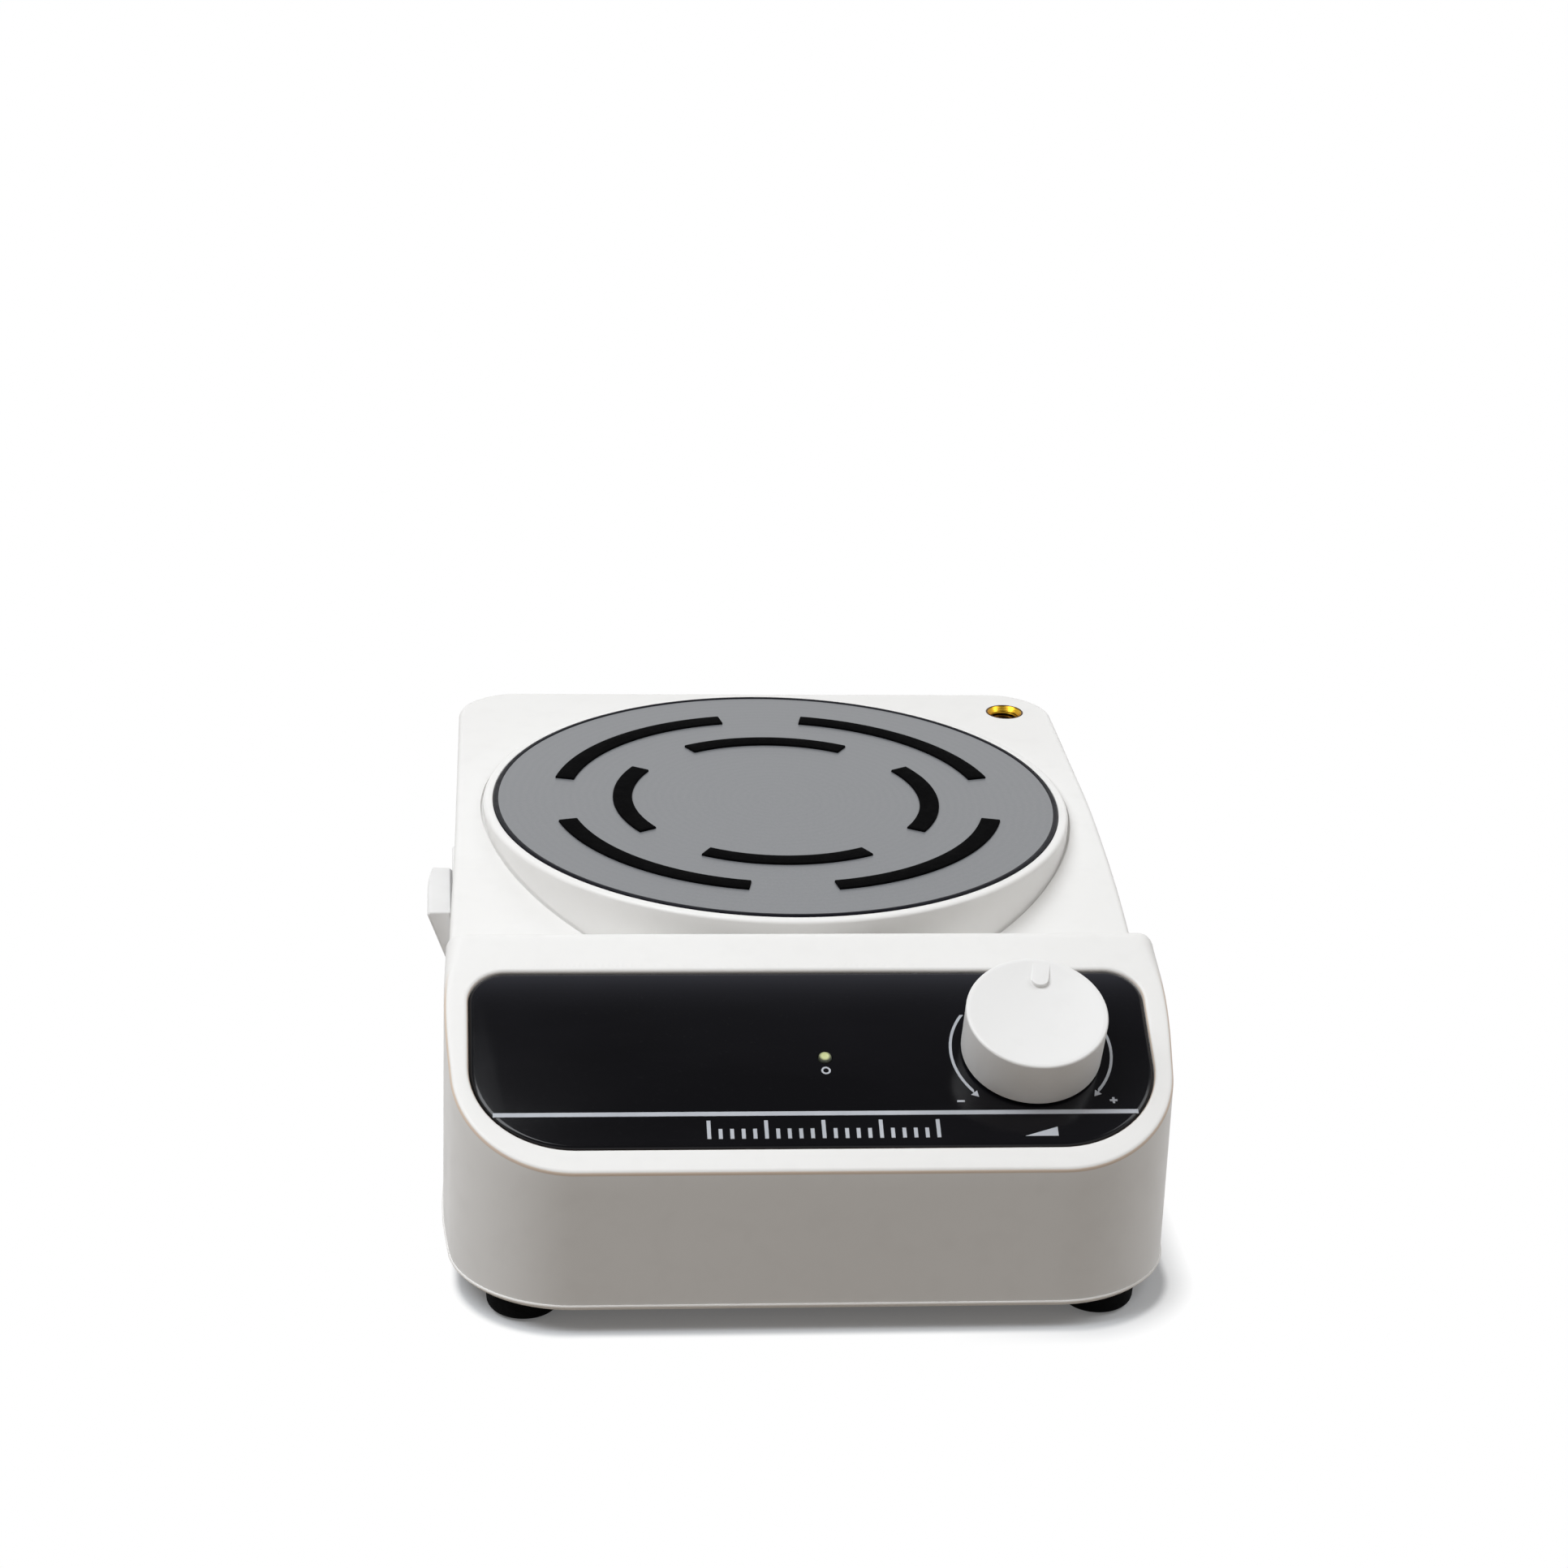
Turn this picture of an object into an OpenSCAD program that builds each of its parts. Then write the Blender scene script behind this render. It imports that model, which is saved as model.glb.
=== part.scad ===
// Magnetic stirrer with a sloped control block, a round stir plate and one speed knob.
// Millimetres, +Z up, front towards -Y, standing on Z = 0.

/* [Case] */
// half width of the control block at its widest
half_front = 78; // [76:0.5:85]
// half width of the control block where the front corners begin
half_nose = 76.7; // [70:0.1:80]
// half width of the case beside the switch
half_mid = 75; // [70:0.2:80]
// half width of the case at the rear corners
half_rear = 73.6; // [70:0.2:80]
// plate centre to front wall
front_len = 132.2; // [120:0.1:150]
// plate centre to rear wall
rear_len = 73.5; // [72:0.5:90]
// plan radius of the two front corners
r_front = 26; // [10:0.5:32]
// plan radius of the two rear corners
r_rear = 14.5; // [10:0.5:24]
// wall thickness of the top cover
wall = 2.5; // [1.6:0.1:3]
// height of the plate rim above the table
plate_h = 65.3; // [60:0.1:75]
// step from the plate rim down to the flat deck
deck_drop = 2; // [1:0.1:4]
// radius of the deck where it dips towards the front
dip_r = 200; // [150:1:230]
// height of the cover's lower edge
cover_z = 5.7; // [5.6:0.1:7.5]
// thickness of the base cover's floor
base_t = 2.5; // [2:0.1:4]

/* [Control block] */
// slope of the control panel from level
slope = 24; // [15:0.5:40]
// panel width
panel_w = 145; // [120:1:148]
// panel length down the slope
panel_l = 48; // [40:0.5:52]
// panel thickness
panel_t = 2; // [1.5:0.1:2.2]
// upper corner radius of the panel
panel_r_top = 8; // [4:0.5:12]
// lower corner radius of the panel
panel_r_low = 22; // [8:0.5:23]
// how far the panel lies below the rim around it
panel_sink = 0.3; // [0.1:0.1:0.5]
// sideways place of the knob axis
knob_x = 46.6; // [35:0.1:52]
// place of the knob axis up the slope
knob_v = 1.6; // [0:0.1:4]
// lower radius of the knob
knob_r_low = 15; // [14:0.1:16.5]
// upper radius of the knob
knob_r_top = 15.1; // [13:0.1:17]
// height of the knob above the rim surface
knob_h = 12.5; // [11.5:0.1:16]
// depth of the hollow in the knob's face
dish = 1.4; // [0.6:0.1:1.6]
// width of the pointer on the knob
pointer_w = 3.7; // [2:0.1:5]
// pointer turn from straight up, clockwise negative
knob_rest = -9.5; // [-40:0.5:40]
// sideways place of the lamp
lamp_x = 2.5; // [0:0.5:8]

/* [Plate] */
// outer radius of the black rim ring
plate_r = 66; // [62:0.5:67]
// width of the black rim ring
gasket_w = 1.1; // [0.8:0.1:2]
// plate thickness
plate_t = 3; // [2.5:0.1:4]
// outer radius of the collar
collar_r = 68.4; // [68:0.1:70]
// inner radius of the outer grip arcs
grip_r = 48.4; // [46:0.1:54]
// inner radius of the inner grip arcs
grip_in_r = 33.7; // [28:0.1:40]
// width of the grip arcs
grip_w = 4.5; // [3:0.1:6]
// height of the grip arcs above the plate
grip_up = 0.5; // [0.3:0.1:1]

/* [Rod socket] */
// sideways place of the rod socket
rod_x = 62.3; // [58:0.1:63]
// place of the rod socket behind the plate centre
rod_y = 61; // [56:0.1:62]
// outer radius of the brass socket
rod_r = 4.6; // [4.4:0.1:5.5]
// wall radius of the threaded hole
rod_hole_r = 3.4; // [2.5:0.1:3.6]

/* [Switch] */
// place of the switch along the left wall
switch_y = -12; // [-13:0.5:20]
// height of the rocker's pivot
switch_z = 34.3; // [30:0.1:36]
// how far the raised half of the rocker stands out
rocker_out = 5.2; // [3:0.1:5.4]
// half height of the raised half above the pivot
rocker_up = 13.3; // [12:0.1:14]
// length of the rocker along the wall
rocker_l = 25.2; // [20:0.2:26]
// thickness of the switch's flange
flange_t = 2; // [1.3:0.1:2.4]

/* [Drive] */
// radius of the motor can
motor_r = 18; // [15:0.5:20]
// radius of the motor shaft
shaft_r = 1.6; // [1.5:0.05:2]
// radius of the magnet holder
holder_r = 26; // [22:0.5:30]
// radius of a stirring magnet
magnet_r = 6; // [5:0.5:7]
// distance of the magnets from the axis
magnet_at = 17; // [15:0.5:18]
// sideways place of the posts under the motor bracket
stay_x = 36; // [32:0.5:38]
// place of those posts along the case
stay_y = 16; // [12:0.5:18]

/* [Feet and inlet] */
// radius of a foot
foot_r = 8; // [6:0.5:9]
// height of the feet
foot_h = 5; // [4:0.5:5.5]
// sideways place of the inlet
inlet_x = -40; // [-46:1:-30]
// height of the inlet
inlet_z = 24; // [20:1:30]

/* [Hidden] */
$fn = 96;
plate_y = (front_len - rear_len) / 2;
flat_x = half_mid - 0.5;
switch_x = -flat_x - flange_t;
body_x = (rocker_out - switch_x - half_front) / 2;
deck_z = plate_h - deck_drop;
dip_y = 10;
dip_z = deck_z - dip_r;
ns = -sin(slope);
nc = cos(slope);
pan_y = -104.6;
pan_z = plate_h - 15.35;
ridge_r = 4.9;
ridge_y = -72.95;
rim_in = panel_sink + panel_t + wall;
ridge_z = rim_z(ridge_y) - ridge_r / nc;
back_y = ridge_y + ridge_r;
edge_r = 1.2;
edge_y = -front_len + edge_r;
edge_z = rim_z(edge_y) - edge_r / nc;
dale_r = 6;
dale_y = back_y + dale_r;
dale_z = dip_z + sqrt(pow(dip_r + dale_r, 2) - pow(dale_y - dip_y, 2));
dale_k = dip_r / (dip_r + dale_r);
taper_a = ridge_y - 19;
taper_b = -15;
floor_z = foot_h + base_t;
plate_top = plate_h - 0.2;
seat_z = plate_top - plate_t;
board_w = -12.8;
board_t = 1.6;
pot_w = -rim_in;
pin_d = 2;
rock_r = norm([rocker_out + pin_d, rocker_up]);
rock_a = atan2(rocker_up, rocker_out + pin_d);
rock_turn = acos((pin_d - 0.1) / rock_r) - rock_a;
rock_mid = rock_a + rock_turn / 2;
rock_v = (pin_d - 0.1) / cos(rock_turn / 2);
pivot_x = switch_x + pin_d;
foot_x = half_front - 17;
foot_in = 12;
foot_y = rear_len - 13.5;
foot_at = [[-foot_x, foot_in - front_len], [foot_x, foot_in - front_len], [-48, foot_y], [48, foot_y]];
stay_at = [[-stay_x, -stay_y], [stay_x, -stay_y], [-stay_x, stay_y], [stay_x, stay_y]];
stand_at = [[-7, -11], [61, -11], [-7, 11], [61, 11]];
magnet_h = 6;
magnet_gap = 3.6;
magnet_z = seat_z - magnet_gap - magnet_h;
holder_z = magnet_z - 2.5;
motor_top = holder_z - 7;
motor_z = floor_z + 8.5;
rod_low = deck_z - 20.8;
tab_y = rear_len - 0.2 - 23;
term_x = switch_x + 26.2;
lip_r = knob_r_top - 1;
dish_r = (lip_r * lip_r + dish * dish) / (2 * dish);
roof_z = knob_h - dish - 2;
hub_z = roof_z + 0.6;
pointer_at = 7.7 + pointer_w / 2;
plug_w = board_w - board_t - 6;

// height of the sloped rim surface at a given depth
function rim_z(y) = pan_z + tan(slope) * (y - pan_y);
// a panel point: sideways, up the slope, out of the panel
function pl(x, v, w) = [x, pan_y + v * nc + w * ns, pan_z - v * ns + w * nc];

module place() translate([body_x, plate_y, 0]) children();
module on_panel() translate([0, pan_y, pan_z]) rotate([slope, 0, 0]) children();
module across(w) rotate([90, 0, 90]) linear_extrude(w, center = true) children();

module plan(t) {
    fx = half_nose - r_front;
    fy = -front_len + r_front;
    rx = half_rear - r_rear;
    ry = rear_len - r_rear;
    n = half_nose - t;
    f = half_front - t;
    m = half_mid - t;
    r = half_rear - t;
    polygon([[-fx, -front_len + t], [fx, -front_len + t], [n, fy], [f, taper_a], [m, taper_b], [r, ry],
        [rx, rear_len - t], [-rx, rear_len - t], [-r, ry], [-m, taper_b], [-f, taper_a], [-n, fy]]);
    for (s = [-1, 1]) {
        translate([s * fx, fy]) circle(r_front - t);
        translate([s * rx, ry]) circle(r_rear - t);
    }
}

// side view of the deck: flat behind, dipping towards the front
module deck_side(t) {
    translate([dip_y, 0]) square([rear_len - t - dip_y, deck_z - t]);
    intersection() {
        translate([dip_y, dip_z]) circle(dip_r - t, $fn = 360);
        translate([back_y - 6, 0]) square([dip_y + 26 - back_y, deck_z + 5]);
    }
}

module block_side() {
    polygon([[-front_len, 0], [-front_len, edge_z], [edge_y + edge_r * ns, edge_z + edge_r * nc],
        [ridge_y + ridge_r * ns, ridge_z + ridge_r * nc], [back_y, ridge_z], [back_y, 34], [back_y + 12, 24],
        [back_y + 12, 0]]);
    translate([ridge_y, ridge_z]) circle(ridge_r);
    translate([edge_y, edge_z]) circle(edge_r);
    difference() {
        polygon([[back_y - 4, 26], [back_y - 4, dale_z], [back_y, dale_z],
            [dip_y + (dale_y - dip_y) * dale_k, dip_z + (dale_z - dip_z) * dale_k],
            [dip_y + (dale_y - dip_y) * dale_k + 4, 26]]);
        translate([dale_y, dale_z]) circle(dale_r);
    }
}

module hollow_side() {
    deck_side(wall);
    y0 = -front_len + wall;
    y1 = back_y - wall;
    polygon([[y0, 0], [y0, rim_z(y0) - rim_in / nc], [y1, rim_z(y1) - rim_in / nc], [y1, 26], [y1 + 12, 20],
        [y1 + 12, 0]]);
}

module outer_solid() intersection() {
    translate([0, 0, cover_z]) linear_extrude(80) plan(0);
    across(200) union() {
        deck_side(0);
        block_side();
    }
}

module inner_solid() intersection() {
    translate([0, 0, -1]) linear_extrude(80) plan(wall);
    across(200) hollow_side();
}

module panel_shape(c) {
    w = panel_w / 2 + c;
    l = panel_l / 2 + c;
    a = panel_r_top + c;
    b = panel_r_low + c;
    polygon([[-w + b, -l], [w - b, -l], [w, -l + b], [w, l - a], [w - a, l], [-w + a, l], [-w, l - a],
        [-w, -l + b]]);
    for (s = [-1, 1]) {
        translate([s * (w - a), l - a]) circle(a);
        translate([s * (w - b), -l + b]) circle(b);
    }
}

module wedge(a, h, r, t) rotate([0, 0, a]) linear_extrude(t)
    polygon([[0, 0], [r * cos(h), -r * sin(h)], [r * cos(h), r * sin(h)]]);

module ring(r0, r1, h) difference() {
    cylinder(r = r1, h = h);
    translate([0, 0, -1]) cylinder(r = r0, h = h + 2);
}

module box(c, s) translate(c) cube(s, center = true);

module rod(p, q, r) {
    d = q - p;
    l = norm(d);
    translate(p) rotate([0, acos(d[2] / l), atan2(d[1], d[0])]) cylinder(r = r, h = l, $fn = 24);
}

// round wire through a list of points
module wire(p, r) {
    for (i = [0 : len(p) - 2]) rod(p[i], p[i + 1], r);
    for (i = [1 : len(p) - 2]) translate(p[i]) sphere(r + 0.06, $fn = 24);
}

module top_cover() color("WhiteSmoke") place() difference() {
    union() {
        difference() {
            outer_solid();
            inner_solid();
            translate([0, 0, 30]) cylinder(r = collar_r - 1.4, h = plate_h);
        }
        difference() {
            translate([0, 0, 30]) ring(plate_r + 0.1, collar_r, plate_h - 0.3 - 30);
            across(200) deck_side(5);
        }
        translate([0, 0, seat_z - wall]) ring(60, plate_r + 0.3, wall);
        for (p = foot_at) intersection() {
            translate([p[0], p[1], floor_z]) cylinder(r = 4, h = plate_h);
            union() {
                across(200) deck_side(wall - 0.5);
                on_panel() translate([-100, -100, -100 - rim_in + 0.5]) cube([200, 128, 100]);
            }
        }
        translate([rod_x, rod_y, rod_low - 2.5]) cylinder(r = rod_r + 2.8, h = deck_z - rod_low + 1.5);
        on_panel() for (p = stand_at) translate([p[0], p[1], board_w])
            cylinder(r = 3, h = -rim_in - board_w + 0.5);
        translate([inlet_x, rear_len - wall + 0.3, inlet_z]) rotate([90, 0, 0]) cylinder(r = 10, h = 4.3);
    }
    translate([0, 0, seat_z]) cylinder(r = plate_r + 0.1, h = 20);
    on_panel() {
        translate([0, 0, -panel_sink - panel_t]) linear_extrude(20) panel_shape(0.15);
        translate([knob_x, knob_v, -10]) cylinder(r = 3.6, h = 20);
        translate([lamp_x, 0, -10]) cylinder(r = 1.7, h = 20);
        for (p = stand_at) translate([p[0], p[1], board_w - 1]) cylinder(r = 1.02, h = 7);
    }
    for (p = foot_at) translate([p[0], p[1], floor_z - 1]) cylinder(r = 1.62, h = 17.5);
    translate([rod_x, rod_y, rod_low]) cylinder(r = rod_r, h = 40);
    translate([rod_x, rod_y, rod_low - 10]) cylinder(r = 1.7, h = 12);
    box([-flat_x - 5, switch_y, switch_z], [10, 31, 36.2]);
    box([-flat_x, switch_y, switch_z], [20, 27.8, 32.6]);
    translate([inlet_x, rear_len + 1, inlet_z]) rotate([90, 0, 0]) cylinder(r = 7.1, h = 2.4);
    translate([inlet_x, rear_len + 1, inlet_z]) rotate([90, 0, 0]) cylinder(r = 5.6, h = 20);
}

module base_cover() color("Gainsboro") place() difference() {
    union() {
        translate([0, 0, foot_h]) linear_extrude(cover_z - foot_h) plan(0.6);
        translate([0, 0, foot_h]) linear_extrude(base_t) plan(wall + 0.2);
        translate([0, 0, foot_h]) difference() {
            linear_extrude(7) plan(wall + 0.2);
            translate([0, 0, -1]) linear_extrude(9) plan(wall + 2.2);
        }
        for (p = stay_at) translate([p[0], p[1], foot_h]) cylinder(r = 4.5, h = motor_top - foot_h);
    }
    for (p = foot_at) translate([p[0], p[1], 0]) cylinder(r = 1.9, h = 20);
    for (p = stay_at) translate([p[0], p[1], motor_top - 12]) cylinder(r = 1.52, h = 20);
    for (i = [-3 : 3]) box([i * 8, 0, foot_h], [3.2, 24, 12]);
}

module feet() color("DimGray") place() for (p = foot_at) translate([p[0], p[1], 0]) difference() {
    rotate_extrude() polygon([[0, 0], [foot_r - 1, 0], [foot_r - 0.3, 0.7], [foot_r, foot_h], [0, foot_h]]);
    translate([0, 0, -1]) cylinder(r = 1.9, h = foot_h + 2);
    translate([0, 0, -1]) cylinder(r = 3.8, h = 4);
}

module foot_screws() color("Silver") place() for (p = foot_at) translate([p[0], p[1], 0]) difference() {
    union() {
        translate([0, 0, 1]) cylinder(r = 3.2, h = 2);
        translate([0, 0, 2]) cylinder(r = 1.6, h = 20);
    }
    for (a = [0, 90]) rotate([0, 0, a]) box([0, 0, 1], [3.6, 0.9, 1.8]);
}

module grip_set(r, turn, z0, t) difference() {
    translate([0, 0, z0]) ring(r, r + grip_w, t);
    if (turn == 0) for (a = [0 : 3]) translate([0, 0, z0 - 1])
        wedge(a * 90, (a % 2 == 0 ? 14.5 : 11.3), 90, t + 2);
    if (turn != 0) for (a = [0 : 3]) translate([0, 0, z0 - 1]) wedge(a * 90 + turn, 14.5, 90, t + 2);
}

module stir_plate() color("SlateGray") place() difference() {
    translate([0, 0, seat_z]) cylinder(r = plate_r - gasket_w, h = plate_t);
    grip_set(grip_r, 0, plate_top - 0.4, 2);
    grip_set(grip_in_r, 45, plate_top - 0.4, 2);
}

module plate_gasket() color("Black") place() translate([0, 0, seat_z])
    ring(plate_r - gasket_w, plate_r, plate_h - seat_z);

module grip_arcs_outer() color("Black") place() grip_set(grip_r, 0, plate_top - 0.4, 0.4 + grip_up);

module grip_arcs_inner() color("Black") place() grip_set(grip_in_r, 45, plate_top - 0.4, 0.4 + grip_up);

module rod_socket() color("Goldenrod") place() translate([rod_x, rod_y, 0]) difference() {
    translate([0, 0, rod_low]) cylinder(r = rod_r, h = deck_z + 0.2 - rod_low);
    translate([0, 0, rod_low + 6]) cylinder(r = rod_hole_r, h = 40);
    translate([0, 0, deck_z - 0.6]) cylinder(r1 = rod_hole_r, r2 = rod_hole_r + 0.8, h = 0.81);
    translate([0, 0, rod_low - 2.5]) cylinder(r = 1.52, h = 7.5);
}

module socket_screw() color("Silver") place() translate([rod_x, rod_y, 0]) difference() {
    union() {
        translate([0, 0, rod_low - 4.5]) cylinder(r = 3, h = 2);
        translate([0, 0, rod_low - 3.5]) cylinder(r = 1.5, h = 8);
    }
    for (a = [0, 90]) rotate([0, 0, a]) box([0, 0, rod_low - 4.5], [3.4, 0.9, 1.8]);
}

module control_panel() color("Black") place() on_panel() difference() {
    translate([0, 0, -panel_sink - panel_t]) linear_extrude(panel_t) panel_shape(0);
    translate([knob_x, knob_v, -10]) cylinder(r = 3.6, h = 20);
    translate([lamp_x, 0, -10]) cylinder(r = 1.6, h = 20);
}

// printed marks: dividing line, dial arcs, minus and plus, tick row, wedge, lamp ring
module panel_marks() color("LightGray") place() on_panel() translate([0, 0, -panel_sink]) {
    box([0, -15, 0.06], [135.4, 1.1, 0.12]);
    translate([knob_x, knob_v, 0]) {
        difference() {
            ring(16.9, 17.5, 0.12);
            box([0, 0, 0], [26.4, 60, 3]);
            box([0, 22, 0], [60, 24, 3]);
        }
        for (s = [-1, 1]) translate([s * 12.9, -11.7, 0]) rotate([0, 0, s > 0 ? 230 : 310])
            cylinder(r = 1, h = 0.12, $fn = 3);
        box([-16.2, -13.6, 0.06], [1.6, 0.5, 0.12]);
        box([16.2, -13.6, 0.06], [1.6, 0.5, 0.12]);
        box([16.2, -13.6, 0.06], [0.5, 1.6, 0.12]);
    }
    for (i = [-10 : 10]) box([1 + i * 2.4, -21.6 + (i % 5 == 0 ? 2.4 : 1.3), 0.06],
        [0.8, (i % 5 == 0 ? 4.8 : 2.6), 0.12]);
    translate([knob_x, -20.2, 0]) linear_extrude(0.12) polygon([[-3.5, -1.2], [3.5, -1.2], [3.5, 1.2]]);
    translate([lamp_x, -3.5, 0]) ring(0.6, 1, 0.12);
}

module lamp() color("YellowGreen") place() on_panel() translate([lamp_x, 0, 0]) {
    translate([0, 0, -8.2]) cylinder(r = 1.5, h = 7.6);
    translate([0, 0, -0.6]) intersection() {
        sphere(1.5);
        cylinder(r = 2, h = 0.6);
    }
    translate([0, 0, -8.2]) cylinder(r = 1.65, h = 1);
    for (s = [-1, 1]) box([s * 0.9, 0, (board_w - 8.2) / 2], [0.5, 0.5, -8.2 - board_w]);
}

// hollow cap with a dished face, and a pointer that stands up out of the dish to just under the brim
module knob() color("White") place() on_panel() translate([knob_x, knob_v, 0]) {
    difference() {
        rotate_extrude() polygon([[3.02, 5], [5.5, 5], [5.5, roof_z], [knob_r_top - 2.5, roof_z],
            [knob_r_low - 1.6, 0.3], [knob_r_low, 0.3], [knob_r_top, knob_h - 0.8],
            [knob_r_top - 0.8, knob_h], [0, knob_h], [0, hub_z], [3.02, hub_z]]);
        translate([0, 0, knob_h - dish + dish_r]) sphere(dish_r, $fn = 180);
    }
    rotate([0, 0, knob_rest]) intersection() {
        translate([0, 0, knob_h - dish - 0.5]) cylinder(r = lip_r + 0.1, h = dish + 0.45);
        union() {
            translate([0, pointer_at, 0]) cylinder(r = pointer_w / 2, h = 30);
            box([0, pointer_at + 5, 15], [pointer_w, 10, 30]);
        }
    }
}

module pot_shaft() color("Silver") place() on_panel() translate([knob_x, knob_v, 0]) {
    translate([0, 0, -10.5]) cylinder(r = 3, h = 10.3 + hub_z);
    translate([0, 0, -10.5]) cylinder(r = 5.5, h = 1);
}

module pot_body() color("DarkGreen") place() on_panel() translate([knob_x, knob_v, 0]) difference() {
    translate([0, 0, board_w]) cylinder(r = 8.2, h = pot_w - board_w);
    translate([0, 0, board_w + 1.2]) cylinder(r = 6.6, h = 5.4);
    translate([0, 0, board_w + 2]) cylinder(r = 3.4, h = 20);
}

module pot_bushing() color("LightSteelBlue") place() on_panel()
    translate([knob_x, knob_v, pot_w]) ring(3.05, 3.5, 4.5 - pot_w);

module pot_washer() color("Silver") place() on_panel() translate([knob_x, knob_v, -panel_sink])
    ring(3.55, 6, 0.6);

module pot_nut() color("Silver") place() on_panel() translate([knob_x, knob_v, 0.6 - panel_sink])
    difference() {
        cylinder(r = 5.6, h = 2.2, $fn = 6);
        translate([0, 0, -1]) cylinder(r = 3.5, h = 5);
    }

module switch_frame() color("White") place() translate([switch_x, switch_y, switch_z]) difference() {
    union() {
        box([flange_t / 2, 0, 0], [flange_t, 30.6, 35.8]);
        box([9, 0, 0], [18, 27.4, 32.2]);
    }
    box([6, 0, 0], [14, rocker_l + 0.5, 30.6]);
    translate([pin_d, 0, 0]) rotate([90, 0, 0]) cylinder(r = 1.56, h = 60, center = true);
}

module switch_rocker() color("White") place() translate([pivot_x, switch_y, switch_z]) rotate([90, 0, 0]) {
    rotate([0, 0, rock_turn / 2]) linear_extrude(rocker_l, center = true) polygon([
        [-rock_r * cos(rock_mid), rock_r * sin(rock_mid)], [-rock_v, 0],
        [-rock_r * cos(rock_mid), -rock_r * sin(rock_mid)], [0.9, -13.35],
        [3.5, -9], [3.5, 9], [0.9, 13.35]]);
    cylinder(r = 1.5, h = rocker_l + 1.6, center = true);
}

module switch_terminals() color("Gold") place() translate([switch_x, switch_y, switch_z])
    for (i = [-1 : 1]) box([22.1, 0, i * 7], [8.2, 4.8, 0.8]);

module motor_can() color("LightSlateGray") place() difference() {
    union() {
        translate([0, 0, motor_z]) cylinder(r = motor_r, h = motor_top - motor_z);
        translate([0, 0, motor_top - 1]) cylinder(r = 5, h = 3);
    }
    translate([0, 0, motor_z - 1]) cylinder(r = motor_r - 1.2, h = motor_top - motor_z - 0.5);
    translate([0, 0, motor_top - 3]) cylinder(r = 3.5, h = 10);
    for (s = [-1, 1]) translate([s * 12.7, 0, motor_top - 3]) cylinder(r = 1.52, h = 10);
}

module motor_end_cap() color("Ivory") place() difference() {
    union() {
        translate([0, 0, motor_z - 3]) cylinder(r = motor_r, h = 3);
        translate([0, 0, motor_z - 5.4]) cylinder(r = 5, h = 3);
        for (s = [-1, 1]) box([s * 8, -12, motor_z - 4.2], [3, 3, 3.4]);
    }
    translate([0, 0, motor_z - 4.2]) cylinder(r = 3.5, h = 10);
}

module motor_bearings() color("Peru") place() {
    translate([0, 0, motor_z - 4.2]) ring(shaft_r + 0.03, 3.5, 4);
    translate([0, 0, motor_top - 1.5]) ring(shaft_r + 0.03, 3.5, 3.5);
}

module field_magnets() color("DarkSlateGray") place() difference() {
    translate([0, 0, motor_z + 3]) ring(11.6, motor_r - 1.2, 16);
    translate([0, 0, motor_z + 2]) wedge(90, 28, 60, 20);
    translate([0, 0, motor_z + 2]) wedge(270, 28, 60, 20);
}

module motor_shaft() color("Silver") place() translate([0, 0, motor_z - 3.8])
    cylinder(r = shaft_r, h = holder_z + 6.8 - motor_z);

module armature() color("Sienna") place() difference() {
    union() {
        difference() {
            translate([0, 0, motor_z + 4]) cylinder(r = 11, h = 14);
            for (a = [0 : 2]) rotate([0, 0, 120 * a]) box([9, 0, motor_z + 11], [8, 2, 20]);
        }
        translate([0, 0, motor_z + 1]) cylinder(r = 4, h = 3.5);
    }
    translate([0, 0, motor_z - 7]) cylinder(r = shaft_r, h = 40);
}

module magnet_holder() color("DimGray") place() difference() {
    union() {
        translate([0, 0, holder_z]) cylinder(r = holder_r, h = 4);
        translate([0, 0, holder_z - 3.5]) cylinder(r = 7, h = 4);
    }
    translate([0, 0, holder_z - 10]) cylinder(r = shaft_r, h = 20);
    for (s = [-1, 1]) translate([s * magnet_at, 0, magnet_z]) cylinder(r = magnet_r, h = 10);
    translate([0, 0, holder_z - 1.8]) rotate([0, 90, 0]) cylinder(r = 1.5, h = 20, $fn = 48);
    for (s = [-1, 1]) translate([0, s * magnet_at, holder_z - 10]) cylinder(r = 5, h = 20);
}

module stir_magnets() color("SlateGray") place()
    for (s = [-1, 1]) translate([s * magnet_at, 0, magnet_z]) cylinder(r = magnet_r, h = magnet_h);

module holder_set_screw() color("Silver") place() translate([shaft_r + 0.05, 0, holder_z - 1.8])
    rotate([0, 90, 0]) difference() {
        cylinder(r = 1.5, h = 5, $fn = 48);
        translate([0, 0, 3]) cylinder(r = 0.8, h = 5, $fn = 6);
    }

module motor_bracket() color("LightSteelBlue") place() difference() {
    translate([0, 0, motor_top]) linear_extrude(2) {
        square([2 * stay_x + 12, 2 * stay_y + 2], center = true);
        square([2 * stay_x + 4, 2 * stay_y + 10], center = true);
        for (s = [-1, 1]) for (t = [-1, 1]) translate([s * (stay_x + 2), t * (stay_y + 1)]) circle(4);
    }
    translate([0, 0, motor_top - 1]) cylinder(r = 5.2, h = 5);
    for (s = [-1, 1]) translate([s * 12.7, 0, motor_top - 1]) cylinder(r = 1.7, h = 5);
    for (p = stay_at) translate([p[0], p[1], motor_top - 1]) cylinder(r = 1.7, h = 5);
}

module pan_screw(r, l, hr, hh) difference() {
    union() {
        cylinder(r = hr, h = hh);
        translate([0, 0, -l]) cylinder(r = r, h = l + 0.5);
    }
    for (a = [0, 90]) rotate([0, 0, a]) box([0, 0, hh], [hr * 1.2, 0.8, hh]);
}

module bracket_screws() color("Silver") place() for (p = stay_at) translate([p[0], p[1], motor_top + 2])
    pan_screw(1.5, 12, 2.8, 2);

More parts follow.
